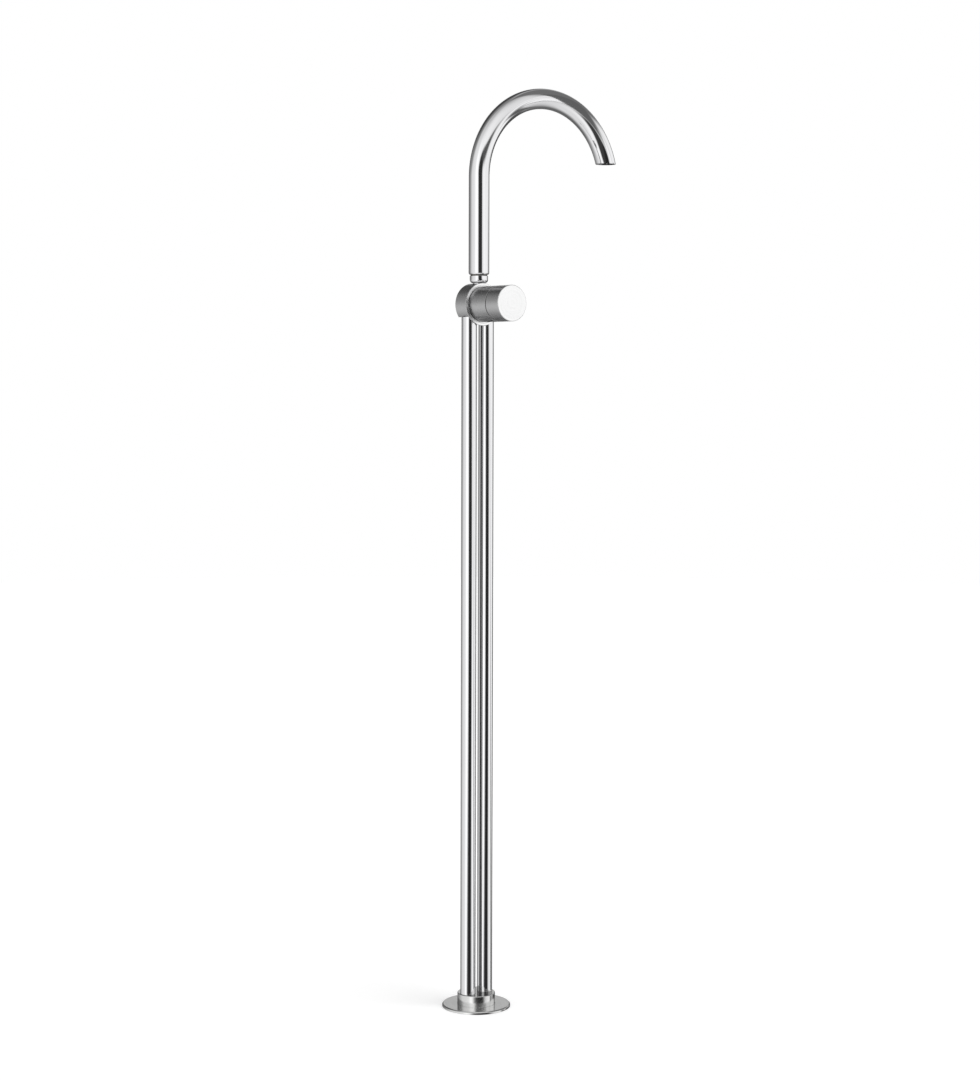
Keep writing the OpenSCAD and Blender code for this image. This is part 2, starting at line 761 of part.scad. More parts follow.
// A frame in the mouth: z runs along the water's way out, zero at the bush's lower face
module at_mouth() {
  on_spout() translate([bend_r, 0, bend_z]) rotate([0, bush_angle, 0])
    translate([-bend_r, 0, 0]) translate([0, 0, bush_l / 2]) children();
}

module mouth_bush() {
  color(brass) at_mouth() difference() {
    translate([0, 0, -bush_l]) cylinder(r = bush_r, h = bush_l);
    translate([0, 0, -bush_l - eps]) cylinder(r = bush_bore_r - bush_lip, h = bush_l + 2 * eps);
    translate([0, 0, -aerator_h - seal_t - 2 * seat_gap])
      cylinder(r = bush_bore_r, h = aerator_h + seal_t + fuse);
  }
}

module aerator_housing() {
  color(resin) at_mouth() difference() {
    translate([0, 0, -aerator_h]) cylinder(r = aerator_r, h = aerator_h);
    translate([0, 0, -aerator_h - eps]) cylinder(r = aerator_r - aerator_wall, h = aerator_h + 2 * eps);
  }
}

module aerator_screen() {
  r = aerator_r - aerator_wall - seat_gap;
  rim = 0.5;
  n = floor(r / screen_pitch);
  color(dark_resin) at_mouth() translate([0, 0, -screen_t - turned_edge])
    linear_extrude(screen_t) difference() {
      circle(r = r);
      for (i = [-n : n], j = [-n : n])
        if (norm([i, j]) * screen_pitch + screen_hole / sqrt(2) < r - rim)
          translate([i, j] * screen_pitch) square(screen_hole, center = true);
    }
}

module aerator_seal() {
  color(rubber) at_mouth() translate([0, 0, -aerator_h - seal_t - seat_gap])
    ring(aerator_r - seat_gap, aerator_r - aerator_wall, seal_t);
}

base_plate();
rosette();
foot_collar();
collar_screws();
pipe_hot();
pipe_cold();
inlet_bush_hot();
inlet_bush_cold();
nipple_hot();
nipple_cold();
nipple_orings();
mixer_body();
front_ring();
sleeve();
sleeve_oring();
cartridge_base();
port_seals();
cartridge_housing();
fixed_disc();
retaining_nut();
moving_disc();
disc_carrier();
spindle();
spindle_oring();
knob();
knob_insert();
knob_screw();
spout_socket();
socket_washer();
swivel_ring();
lock_screw();
spout_tube();
spout_spigot();
spigot_orings();
mouth_bush();
aerator_housing();
aerator_screen();
aerator_seal();
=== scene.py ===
"""Models and finishes a floor-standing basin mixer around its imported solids."""

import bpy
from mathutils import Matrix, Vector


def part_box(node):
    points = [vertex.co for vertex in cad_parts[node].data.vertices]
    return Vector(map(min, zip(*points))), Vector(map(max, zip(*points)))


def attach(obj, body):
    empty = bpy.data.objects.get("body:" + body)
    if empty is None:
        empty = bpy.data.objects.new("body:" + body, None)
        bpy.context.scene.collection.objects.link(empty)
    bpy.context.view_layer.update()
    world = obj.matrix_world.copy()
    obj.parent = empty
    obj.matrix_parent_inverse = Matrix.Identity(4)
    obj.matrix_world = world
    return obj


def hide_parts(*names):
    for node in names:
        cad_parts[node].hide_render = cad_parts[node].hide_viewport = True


bl_info = {
    "name": "Floor-standing basin mixer",
    "version": (1, 0, 0),
    "blender": (4, 5, 0),
    "location": "View3D > Sidebar > Mixer",
    "description": "Models the mixer's turned and bent steel, its finishes and its studio",
    "category": "Add Mesh",
}

from functools import partialmethod
from math import cos, pi, radians, sin

import bmesh
import bpy
from mathutils import Matrix, Vector

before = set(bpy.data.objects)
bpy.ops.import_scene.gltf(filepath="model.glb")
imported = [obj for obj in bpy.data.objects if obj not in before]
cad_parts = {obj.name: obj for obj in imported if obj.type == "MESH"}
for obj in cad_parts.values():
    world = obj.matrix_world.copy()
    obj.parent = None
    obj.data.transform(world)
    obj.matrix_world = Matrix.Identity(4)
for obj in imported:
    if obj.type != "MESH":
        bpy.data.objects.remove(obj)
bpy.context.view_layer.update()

MM = 0.001


def span(node):
    """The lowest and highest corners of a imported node, in millimetres."""
    low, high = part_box(node)
    return low / MM, high / MM


def middle(node, axis):
    """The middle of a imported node's box along one axis, in millimetres."""
    low, high = span(node)
    return (getattr(low, axis) + getattr(high, axis)) / 2


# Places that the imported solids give, in millimetres
tube_low, tube_high = span("spout_tube")
ring_low, ring_high = span("front_ring")
knob_low, knob_high = span("knob")
sleeve_low, sleeve_high = span("sleeve")
body_low, body_high = span("mixer_body")
socket_low, socket_high = span("spout_socket")
washer_low, washer_high = span("socket_washer")
swivel_low, swivel_high = span("swivel_ring")
collar_low, collar_high = span("foot_collar")
rosette_high = span("rosette")[1]
pipe_low, pipe_high = span("pipe_cold")

SPOUT_R = (tube_high.y - tube_low.y) / 2
SPOUT_Y = middle("spout_tube", "y")
HEAD_Z = middle("knob", "z")
KNOB_R = (knob_high.z - knob_low.z) / 2
DRUM_R = (ring_high.z - ring_low.z) / 2
PIPE_R = (pipe_high.y - pipe_low.y) / 2
PIPE_X = middle("pipe_cold", "x")

# Sizes that no packed box gives, in millimetres
SEAT_GAP, SLEEVE_GAP, COLLAR_GAP = 0.05, 0.4, 0.2
COLLAR_WEB = 1.6
PIPE_WAY_R, PIPE_FLARE = 6.46, 0.25
SCREW_HOLE_R, KEY_HOLE_R = 2.05, 2.55
NIPPLE_HOLE_R, NIPPLE_DEPTH = 6, 8
NECK_OVERLAP = 0.15
STEM_R, STEM_HOLE_R, STEM_GAP = 5.95, 6, 0.5
SPOT_FACE_R = 7.05
OUTLET_R, OUTLET_ABOVE_AXIS = 3.5, 9
SOCKET_CHAMFER = 0.4
# How far a cutter runs past its piece, and how near points or heights count as the same
EXTRA = 1
SAME_POINT, SAME_HEIGHT = 0.001, 0.01

# Where the grub screws sit round the collar, in degrees
SCREW_ANGLES = (18, 88)

# Steps round the turned pieces
TURN_STEPS, BASE_STEPS, HEAD_STEPS, SEAT_STEPS, HOLE_STEPS = 128, 192, 256, 96, 64
# Steps of the socket's rounding, sides of the spout tube and steps along its bend
ROUNDING_STEPS, TUBE_SIDES, BEND_STEPS = 16, 96, 174


# Sizes and colours


def length(name, text, millimetres):
    """A size that a user may change, in metres."""
    return bpy.props.FloatProperty(
        name=name, description=text, default=millimetres * MM, min=0.0, unit="LENGTH", precision=4)


def colour(name, text, *rgb):
    """A colour that a user may change."""
    return bpy.props.FloatVectorProperty(
        name=name, description=text, default=rgb, min=0.0, max=1.0, size=3, subtype="COLOR")


def share(name, text, value):
    """A share from 0 to 1 that a user may change."""
    return bpy.props.FloatProperty(name=name, description=text, default=value, min=0.0, max=1.0, precision=3)


def angle(name, text, degrees):
    """An angle that a user may change, given in degrees."""
    return bpy.props.FloatProperty(name=name, description=text, default=radians(degrees), subtype="ANGLE")


class MixerSizes(bpy.types.PropertyGroup):
    """Sizes of the pieces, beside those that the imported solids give."""

    bend_radius: length("Bend radius", "Radius of the spout's bend at the middle of the tube", 103.1)
    mouth_height: length("Mouth height", "Height of the level mouth above the floor", 1060.1)
    tube_wall: length("Tube wall", "Wall of the spout tube and of the pipes", 1.5)
    soft_edge: length("Edge rounding", "Rounding of the turned edges", 0.2)
    ring_width: length("Ring width", "Width of the ring on the drum's face", 2.8)
    sleeve_wall: length("Sleeve wall", "Wall of the fixed sleeve", 1.2)
    drum_flat: length("Drum flat", "Height of the drum's flat underside below its axis", 15.6)


class MixerFinish(bpy.types.PropertyGroup):
    """Colours and surface of the materials."""

    tube_colour: colour("Tubes", "Steel of the spout and the pipes", 0.845, 0.845, 0.855)
    head_colour: colour("Head", "Steel of the drum, the sleeve and the knob", 0.70, 0.70, 0.705)
    # Painted highlight: the head's forward faces get this colour, brighter than the rest of the head's steel
    face_highlight_colour: colour("Head faces", "Steel of the knob's end and the ring's face", 0.96, 0.96, 0.96)
    base_colour: colour("Base", "Steel of the rosette and the collar", 0.79, 0.79, 0.785)
    screw_colour: colour("Screws", "Steel of the small screws", 0.45, 0.45, 0.46)
    brass_colour: colour("Brass", "Turned brass inside", 0.78, 0.58, 0.27)
    rubber_colour: colour("Rubber", "Seals", 0.018, 0.018, 0.018)
    # Also colours the painted shade on the knob's skirt and back chamfer
    dark_resin_and_shade_colour: colour("Dark resin", "Bearing ring and other dark moulded pieces", 0.03, 0.03, 0.032)
    resin_colour: colour("Resin", "Pale moulded pieces", 0.70, 0.70, 0.68)
    ceramic_colour: colour("Ceramic", "Lapped discs", 0.86, 0.85, 0.80)
    tube_roughness: share("Tube roughness", "How far the tubes blur what they reflect", 0.07)
    head_roughness: share("Head roughness", "How far the brushed head blurs what it reflects", 0.26)
    # Painted shade: where other pieces mirror the tubes, the socket and the head's faces, their colour is
    # dimmed to this share
    painted_reflection_share: share("Echo", "How much of their colour the tubes keep in another piece's mirror image", 0.42)
    face_roughness: share("Face roughness", "How far the head's faces blur what they reflect", 0.20)
    base_roughness: share("Base roughness", "How far the rosette and the collar blur what they reflect", 0.16)


def sizes():
    """The sizes as the user has set them."""
    return bpy.context.scene.mixer_sizes


def finish():
    """The finishes as the user has set them."""
    return bpy.context.scene.mixer_finish


# Modelling

# The angles up to which an edge is shaded smooth and from which on it is rounded, in degrees, and the
# steps of that rounding
SMOOTH_BELOW, SHARP_FROM = 32, 25
EDGE_SEGMENTS = 3
# How nearly a front face looks forward
FORWARD = 0.999
# How steep the chamfer on the tube's foot is, and how the tube's upright part is split
FOOT_SLOPE = 1.4
UPRIGHT_PARTS = (0.02, 0.48, 0.48, 0.02)


def begin(name):
    """Names the new primitive and puts its place into its mesh."""
    piece = bpy.context.object
    piece.name = piece.data.name = name
    bpy.ops.object.transform_apply(location=True, rotation=True, scale=True)
    return piece


def deselect():
    """Leaves edit mode, with nothing selected."""
    if bpy.context.object and bpy.context.object.mode != "OBJECT":
        bpy.ops.object.mode_set(mode="OBJECT")
    bpy.ops.object.select_all(action="DESELECT")


def only(piece):
    """Makes one object the selected and active one."""
    deselect()
    piece.select_set(True)
    bpy.context.view_layer.objects.active = piece


def edit(piece):
    """Goes into edit mode on one piece, with all of it selected."""
    only(piece)
    bpy.ops.object.mode_set(mode="EDIT")
    bpy.ops.mesh.select_all(action="SELECT")


def leave_edit():
    """Goes back to object mode."""
    bpy.ops.object.mode_set(mode="OBJECT")


def extrude(x, y, z):
    """In edit mode, draws what is selected out along a way."""
    bpy.ops.mesh.extrude_region_move(TRANSFORM_OT_translate={"value": (x, y, z)})


def face_outwards():
    """In edit mode, turns all the faces outwards."""
    bpy.ops.mesh.select_all(action="SELECT")
    bpy.ops.mesh.normals_make_consistent(inside=False)


def join_up():
    """In edit mode, makes double points one and turns the faces outwards."""
    bpy.ops.mesh.select_all(action="SELECT")
    bpy.ops.mesh.remove_doubles(threshold=SAME_POINT * MM)
    face_outwards()


def pick(kind, test):
    """In edit mode, selects the edges or the faces that pass a test."""
    bpy.ops.mesh.select_mode(type=kind)
    bpy.ops.mesh.select_all(action="DESELECT")
    mesh = bpy.context.edit_object.data
    net = bmesh.from_edit_mesh(mesh)
    for part in net.edges if kind == "EDGE" else net.faces:
        if test(part):
            part.select_set(True)
    net.select_flush_mode()
    bmesh.update_edit_mesh(mesh)


def soften(width):
    """In edit mode, rounds every sharp edge."""
    bpy.ops.mesh.select_mode(type="EDGE")
    bpy.ops.mesh.select_all(action="DESELECT")
    bpy.ops.mesh.edges_select_sharp(sharpness=radians(SHARP_FROM))
    bpy.ops.mesh.bevel(offset=width, segments=EDGE_SEGMENTS, affect="EDGES", clamp_overlap=True)


def put(piece, place):
    """Sets a piece in its place, which its mesh then keeps."""
    only(piece)
    piece.matrix_world = place
    bpy.ops.object.transform_apply(location=True, rotation=True, scale=True)


def turned(name, outline, place=None, steps=TURN_STEPS, soft=0.0, closed=True):
    """Turns an outline of (radius, height) points in millimetres round z, as on a lathe.

    The share of the usual rounding that its edges get is soft.
    """
    deselect()
    points = [Vector((r, 0, z)) * MM for r, z in outline]
    bpy.ops.mesh.primitive_plane_add(size=MM, location=points[0])
    piece = begin(name)
    edit(piece)
    bpy.ops.mesh.select_mode(type="VERT")
    bpy.ops.mesh.merge(type="CENTER")
    if closed:
        points = points + points[:1]
    for start, end in zip(points, points[1:]):
        extrude(*(end - start))
    bpy.ops.mesh.select_all(action="SELECT")
    bpy.ops.mesh.spin(steps=steps, angle=2 * pi, center=(0, 0, 0), axis=(0, 0, 1))
    join_up()
    if soft:
        soften(soft * sizes().soft_edge)
    leave_edit()
    if place:
        put(piece, place)
    return piece


def ring(name, inner, outer, low, high, place=None, steps=TURN_STEPS, soft=0.0):
    """A turned ring or pipe with a plain section."""
    return turned(name, [(inner, low), (outer, low), (outer, high), (inner, high)], place, steps, soft)


def rod(name, radius, low, high, place, steps=HOLE_STEPS):
    """A plain turned rod, which cuts a hole."""
    return turned(name, [(0, low), (radius, low), (radius, high), (0, high)], place, steps, closed=False)


def combine(piece, tools, operation="DIFFERENCE"):
    """Cuts other solids out of a piece or joins them to it, and removes them."""
    only(piece)
    for tool in tools:
        step = piece.modifiers.new(tool.name, "BOOLEAN")
        step.operation, step.object, step.solver = operation, tool, "EXACT"
        bpy.ops.object.modifier_apply(modifier=step.name)
    for tool in tools:
        bpy.data.objects.remove(tool)
    return piece


def complete(piece, finish_name, body, nodes):
    """Smooths a finished piece, gives it its finish and sets it on its body."""
    only(piece)
    bpy.ops.object.shade_smooth_by_angle(angle=radians(SMOOTH_BELOW))
    bpy.ops.object.modifier_add(type="WEIGHTED_NORMAL")
    piece.modifiers[-1].keep_sharp = True
    bpy.ops.object.modifier_apply(modifier=piece.modifiers[-1].name)
    coat(piece, finish_name)
    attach(piece, body)
    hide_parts(*nodes)


def give_faces(piece, finish_name, test):
    """Gives the faces that pass a test their own finish."""
    piece.data.materials.append(finish_called(finish_name))
    edit(piece)
    pick("FACE", test)
    piece.active_material_index = len(piece.data.materials) - 1
    bpy.ops.object.material_slot_assign()
    leave_edit()


def paint_front_highlight(piece):
    """Paints a highlight on the faces that look forward along the knob's axis, by giving them a brighter
    steel.
    """
    give_faces(piece, "Head face steel", lambda f: f.normal.y < -FORWARD)


def head_axis():
    """The lathe's frame on the knob's axis: z runs from the spout's axis towards the knob."""
    return Matrix.Translation(Vector((0, SPOUT_Y, HEAD_Z)) * MM) @ Matrix.Rotation(pi / 2, 4, "X")


def spout_axis():
    """The lathe's frame on the axis of the spout's upright part."""
    return Matrix.Translation(Vector((0, SPOUT_Y, 0)) * MM)


def pipe_axis(side):
    """The lathe's frame on a pipe's axis: side is -1 for hot and 1 for cold."""
    return Matrix.Translation((side * PIPE_X * MM, 0, 0))


def along_head(y):
    """How far a place lies in front of the spout's axis."""
    return SPOUT_Y - y


def sleeve_bore():
    """Radius inside the fixed sleeve."""
    return KNOB_R - sizes().sleeve_wall / MM


def bend_height():
    """Height at which the spout's bend starts, in metres."""
    return tube_high.z * MM - SPOUT_R * MM - sizes().bend_radius


# Effects shared by the finishes


class Sheet:
    """Adds nodes to a tree and joins them in a few words."""

    def __init__(self, tree):
        self.tree = tree

    def add(self, kind, **values):
        made = self.tree.nodes.new(kind)
        for key, value in values.items():
            setattr(made, key, value)
        return made

    def feed(self, socket, value):
        if isinstance(value, bpy.types.NodeSocket):
            self.tree.links.new(value, socket)
        elif value is not None:
            socket.default_value = value

    def fill(self, node, **values):
        """Feeds a node's inputs by their names, with _ for a space."""
        for key, value in values.items():
            self.feed(node.inputs[key.replace("_", " ")], value)
        return node.outputs

    def node(self, kind, **values):
        """Adds a node and feeds its inputs."""
        return self.fill(self.add(kind), **values)

    def fill_all(self, node, *values):
        """Feeds a node's inputs in their order, and gives its first output."""
        for socket, value in zip(node.inputs, values):
            self.feed(socket, value)
        return node.outputs[0]

    def math(self, operation, *values):
        return self.fill_all(self.add("ShaderNodeMath", operation=operation), *values)

    plus = partialmethod(math, "ADD")
    minus = partialmethod(math, "SUBTRACT")
    times = partialmethod(math, "MULTIPLY")
    over = partialmethod(math, "DIVIDE")

    def vector(self, operation, *values):
        made = self.add("ShaderNodeVectorMath", operation=operation)
        second = made.inputs["Scale" if operation == "SCALE" else 1]
        for socket, value in zip((made.inputs[0], second), values):
            self.feed(socket, value)
        return made.outputs["Value" if operation in ("DOT_PRODUCT", "LENGTH") else "Vector"]

    def split(self, vector):
        made = self.add("ShaderNodeSeparateXYZ")
        self.feed(made.inputs[0], vector)
        return made.outputs

    def join(self, x, y, z):
        return self.fill_all(self.add("ShaderNodeCombineXYZ"), x, y, z)

    def noise(self, vector, scale, detail, roughness):
        return self.node("ShaderNodeTexNoise", Vector=vector, Scale=scale, Detail=detail,
                         Roughness=roughness)["Fac"]

    def spread(self, value, low, high, to_low=0.0, to_high=1.0, way="LINEAR"):
        made = self.add("ShaderNodeMapRange", interpolation_type=way)
        return self.fill_all(made, value, low, high, to_low, to_high)

    def fade(self, *values):
        """A spread that starts and ends gently."""
        return self.spread(*values, way="SMOOTHSTEP")

    def blend(self, factor, first, second):
        mix = self.add("ShaderNodeMix", data_type="RGBA")
        return self.fill(mix, Factor=factor, A=first, B=second)["Result"]

    def group(self, name, **values):
        return self.fill(self.add("ShaderNodeGroup", node_tree=bpy.data.node_groups[name]), **values)


def node_group(name, inputs, outputs):
    """A new shader group with named sockets: its sheet, what it takes in and what it puts out."""
    group = bpy.data.node_groups.new(name, "ShaderNodeTree")
    for socket, kind, value in inputs:
        made = group.interface.new_socket(socket, in_out="INPUT", socket_type=kind)
        if value is not None:
            made.default_value = value
    for socket, kind in outputs:
        group.interface.new_socket(socket, in_out="OUTPUT", socket_type=kind)
    sheet = Sheet(group)
    return sheet, sheet.add("NodeGroupInput").outputs, sheet.add("NodeGroupOutput").inputs


PLACE = ("Place", "NodeSocketVector", None)
GRAIN_INPUTS = [("Lines per metre", "NodeSocketFloat", 900.0), ("Stretch", "NodeSocketFloat", 60.0)]
GRAIN_OUTPUTS = [("Lines", "NodeSocketFloat"), ("Height", "NodeSocketFloat")]
# How much finer the second set of lines is, and how much longer they are drawn
FINER, LONGER = 6.0, 3.0


def straightened_spout():
    """The group that unrolls the spout's bend, so that its grain follows the tube."""
    sheet, into, out = node_group(
        "Straightened spout",
        [PLACE, ("Bend radius", "NodeSocketFloat", 0.1), ("Bend height", "NodeSocketFloat", 1.0)],
        [("Straight", "NodeSocketVector")])
    x, y, z = sheet.split(into["Place"])
    inward = sheet.minus(into["Bend radius"], x)
    above = sheet.math("MAXIMUM", sheet.minus(z, into["Bend height"]), 0.0)
    turn = sheet.math("ARCTAN2", above, inward)
    reach = sheet.math("SQRT", sheet.plus(sheet.times(inward, inward), sheet.times(above, above)))
    is_bent = sheet.math("GREATER_THAN", z, into["Bend height"])
    across = sheet.minus(into["Bend radius"], reach)
    low = sheet.math("MINIMUM", z, into["Bend height"])
    along = sheet.plus(low, sheet.times(turn, into["Bend radius"]))
    flat = sheet.plus(sheet.times(is_bent, across), sheet.times(sheet.minus(1.0, is_bent), x))
    sheet.feed(out["Straight"], sheet.join(flat, y, along))


def lay_lines(sheet, into, out, place, fine_place):
    """Feeds what a grain group puts out, from coarse and fine noise."""
    lines = sheet.noise(place, into["Lines per metre"], detail=5.0, roughness=0.7)
    finer = sheet.times(into["Lines per metre"], FINER)
    fine = sheet.noise(fine_place, finer, detail=2.0, roughness=0.6)
    sheet.feed(out["Lines"], lines)
    sheet.feed(out["Height"], sheet.times(sheet.plus(lines, fine), 0.5))


def drawn_grain():
    """The group of the fine lines that run along a drawn tube."""
    sheet, into, out = node_group("Drawn grain", [PLACE] + GRAIN_INPUTS, GRAIN_OUTPUTS)
    x, y, z = sheet.split(into["Place"])
    slow = sheet.over(z, into["Stretch"])
    slower = sheet.over(slow, LONGER)
    lay_lines(sheet, into, out, sheet.join(x, y, slow), sheet.join(x, y, slower))


def turned_grain():
    """The group of the rings that a lathe leaves round an axis."""
    sheet, into, out = node_group(
        "Turned grain",
        [PLACE, ("Centre", "NodeSocketVector", None), ("Axis", "NodeSocketVector", (0.0, 0.0, 1.0))]
        + GRAIN_INPUTS, GRAIN_OUTPUTS)
    offset = sheet.vector("SUBTRACT", into["Place"], into["Centre"])
    along = sheet.vector("DOT_PRODUCT", offset, into["Axis"])
    radial = sheet.vector("SUBTRACT", offset, sheet.vector("SCALE", into["Axis"], along))
    radius = sheet.vector("LENGTH", radial)
    around = sheet.split(sheet.vector("SCALE", radial, sheet.over(1.0, into["Stretch"])))
    lateral = sheet.plus(around[0], sheet.plus(around[1], around[2]))
    skew = sheet.minus(around[0], sheet.minus(around[1], around[2]))
    place = sheet.join(sheet.plus(along, radius), lateral, skew)
    lay_lines(sheet, into, out, place, place)


def handling():
    """The group of the soft patches that hands and cloths leave."""
    sheet, into, out = node_group("Handling", [PLACE, ("Patch size", "NodeSocketFloat", 0.03)],
                                  [("Haze", "NodeSocketFloat")])
    scale = sheet.over(1.0, into["Patch size"])
    wide = sheet.noise(into["Place"], scale, detail=3.0, roughness=0.55)
    sheet.feed(out["Haze"], sheet.spread(wide, 0.35, 0.7))


# Finishes

# What the noise of the lines spans, the tint of a dull line, how rough the lines are and what handling adds
LINE_NOISE = (0.3, 0.7)
DULL_TINT = 0.93
DULL_LINE, BRIGHT_LINE = 1.18, 0.86
HANDLED = 0.16
# The same for moulded and other even surfaces
PATCH_TINT = 0.82
BRIGHT_PATCH, DULL_PATCH = 0.85, 1.15


def empty_sheet(owner):
    """The sheet of a material or a world, without the nodes that it starts with."""
    owner.use_nodes = True
    owner.node_tree.nodes.clear()
    return Sheet(owner.node_tree)


def new_finish(name):
    """A new material with a Principled shader: its sheet, its shader and the place on the piece."""
    sheet = empty_sheet(bpy.data.materials.new(name))
    shader = sheet.add("ShaderNodeBsdfPrincipled")
    sheet.node("ShaderNodeOutputMaterial", Surface=shader.outputs[0])
    return sheet, shader, sheet.add("ShaderNodeTexCoord").outputs["Object"]


def opaque(rgb, level=1.0):
    """A colour at a share of its brightness, with full cover."""
    return [channel * level for channel in rgb] + [1.0]


def emboss(sheet, shader, height, depth):
    """Raises a surface by a pattern, so many millimetres deep."""
    bump = sheet.node("ShaderNodeBump", Strength=1.0, Distance=depth * MM, Height=height)
    sheet.fill(shader, Normal=bump["Normal"])


def steel(name, rgb, roughness, grain, depth=0.0007, anisotropy=0.0, painted_reflection_share=1.0, bend=None, **where):
    """Brushed stainless steel, whose lines tint it, roughen it and catch the light.

    A share under 1 dims its colour in the mirror image that another piece shows: painted shade in those
    reflections.
    """
    sheet, shader, place = new_finish(name)
    drawn_out = sheet.group("Straightened spout", Place=place, **bend)["Straight"] if bend else place
    lined = sheet.group(grain, Place=drawn_out, **where)
    haze = sheet.group("Handling", Place=place)["Haze"]
    colour = sheet.blend(sheet.spread(lined["Lines"], *LINE_NOISE), opaque(rgb, DULL_TINT), opaque(rgb))
    # Painted shade: for glossy rays the colour is dimmed, so the piece looks darker where another piece
    # mirrors it
    if painted_reflection_share < 1.0:
        mirrored = sheet.add("ShaderNodeLightPath").outputs["Is Glossy Ray"]
        colour = sheet.blend(mirrored, colour, opaque(rgb, painted_reflection_share))
    rough = sheet.spread(lined["Lines"], *LINE_NOISE, roughness * DULL_LINE, roughness * BRIGHT_LINE)
    rough = sheet.plus(rough, sheet.times(haze, roughness * HANDLED))
    emboss(sheet, shader, lined["Height"], depth)
    sheet.fill(shader, Base_Color=colour, Roughness=rough, Metallic=1.0, Anisotropic=anisotropy)


def moulded(name, rgb, roughness, patch, depth, metallic=0.0, specular=0.5):
    """A moulded, turned or lapped piece with a fine even texture."""
    sheet, shader, place = new_finish(name)
    haze = sheet.group("Handling", Place=place, Patch_size=patch)["Haze"]
    colour = sheet.blend(haze, opaque(rgb), opaque(rgb, PATCH_TINT))
    rough = sheet.spread(haze, 0.0, 1.0, roughness * BRIGHT_PATCH, roughness * DULL_PATCH)
    emboss(sheet, shader, haze, depth)
    sheet.fill(shader, Base_Color=colour, Roughness=rough, Metallic=metallic, Specular_IOR_Level=specular)


def make_finishes():
    """Makes the shared effects and every finish."""
    for effect in (straightened_spout, drawn_grain, turned_grain, handling):
        effect()
    look = finish()
    head = Vector((0, SPOUT_Y, HEAD_Z)) * MM
    steel("Tube steel", look.tube_colour, look.tube_roughness, "Drawn grain", painted_reflection_share=look.painted_reflection_share)
    steel("Spout steel", look.tube_colour, look.tube_roughness, "Drawn grain", painted_reflection_share=look.painted_reflection_share,
          bend=dict(Bend_radius=sizes().bend_radius, Bend_height=bend_height()))
    steel("Head steel", look.head_colour, look.head_roughness, "Turned grain", depth=0.0012,
          anisotropy=0.3, Centre=head, Axis=(0.0, -1.0, 0.0))
    # Painted highlight: the same steel as the head, brighter, for the faces that look forward
    steel("Head face steel", look.face_highlight_colour, look.face_roughness, "Turned grain", depth=0.0008,
          painted_reflection_share=look.painted_reflection_share, Centre=head, Axis=(0.0, -1.0, 0.0))
    steel("Base steel", look.base_colour, look.base_roughness, "Turned grain", depth=0.0010,
          anisotropy=0.1, Centre=(0.0, 0.0, 0.0), Axis=(0.0, 0.0, 1.0))
    steel("Socket steel", look.tube_colour, look.tube_roughness, "Turned grain", depth=0.0005,
          painted_reflection_share=look.painted_reflection_share, Centre=Vector((0, SPOUT_Y, 0)) * MM, Axis=(0.0, 0.0, 1.0))
    moulded("Screw steel", look.screw_colour, 0.3, patch=0.002, depth=0.003, metallic=1.0)
    # Painted shade: dark steel that stands for the shade in the gap between the sleeve and the knob
    moulded("Blackened steel", look.dark_resin_and_shade_colour, 0.5, patch=0.002, depth=0.002, metallic=1.0)
    moulded("Brass", look.brass_colour, 0.28, patch=0.003, depth=0.003, metallic=1.0)
    moulded("Rubber", look.rubber_colour, 0.6, patch=0.001, depth=0.01, specular=0.3)
    moulded("Dark resin", look.dark_resin_and_shade_colour, 0.42, patch=0.0015, depth=0.006)
    moulded("Resin", look.resin_colour, 0.45, patch=0.0015, depth=0.006)
    moulded("Ceramic", look.ceramic_colour, 0.12, patch=0.004, depth=0.001)


def finish_called(finish_name):
    """A finish by its name. All of them are made when the first is asked for."""
    if "Tube steel" not in bpy.data.materials:
        make_finishes()
    return bpy.data.materials[finish_name]


def coat(piece, finish_name):
    """Gives a whole piece one finish."""
    piece.data.materials.clear()
    piece.data.materials.append(finish_called(finish_name))


def coat_packed(finish_name, *nodes):
    """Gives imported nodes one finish."""
    for node in nodes:
        coat(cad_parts[node], finish_name)


# Pieces


class MIXER_OT_rosette(bpy.types.Operator):
    """Models the round cover on the floor"""

    bl_idname = "mixer.rosette"
    bl_label = "Rosette"

    rim: length("Rim", "Width of the rim that stands on the floor", 3.0)
    bevel: length("Bevel", "Bevel round the upper edge", 1.2)
    sheet: length("Sheet", "Thickness of the top", 1.0)

    def execute(self, context):
        r, top = rosette_high.x, rosette_high.z
        rim, bevel, under = self.rim / MM, self.bevel / MM, top - self.sheet / MM
        hole = collar_high.x + COLLAR_GAP
        piece = turned("rosette_cover", [
            (r - rim, 0), (r, 0), (r, top - bevel), (r - bevel, top), (hole, top), (hole, under),
            (r - rim, under),
        ], steps=BASE_STEPS, soft=1.0)
        complete(piece, "Base steel", "stand", ["rosette"])
        return {"FINISHED"}


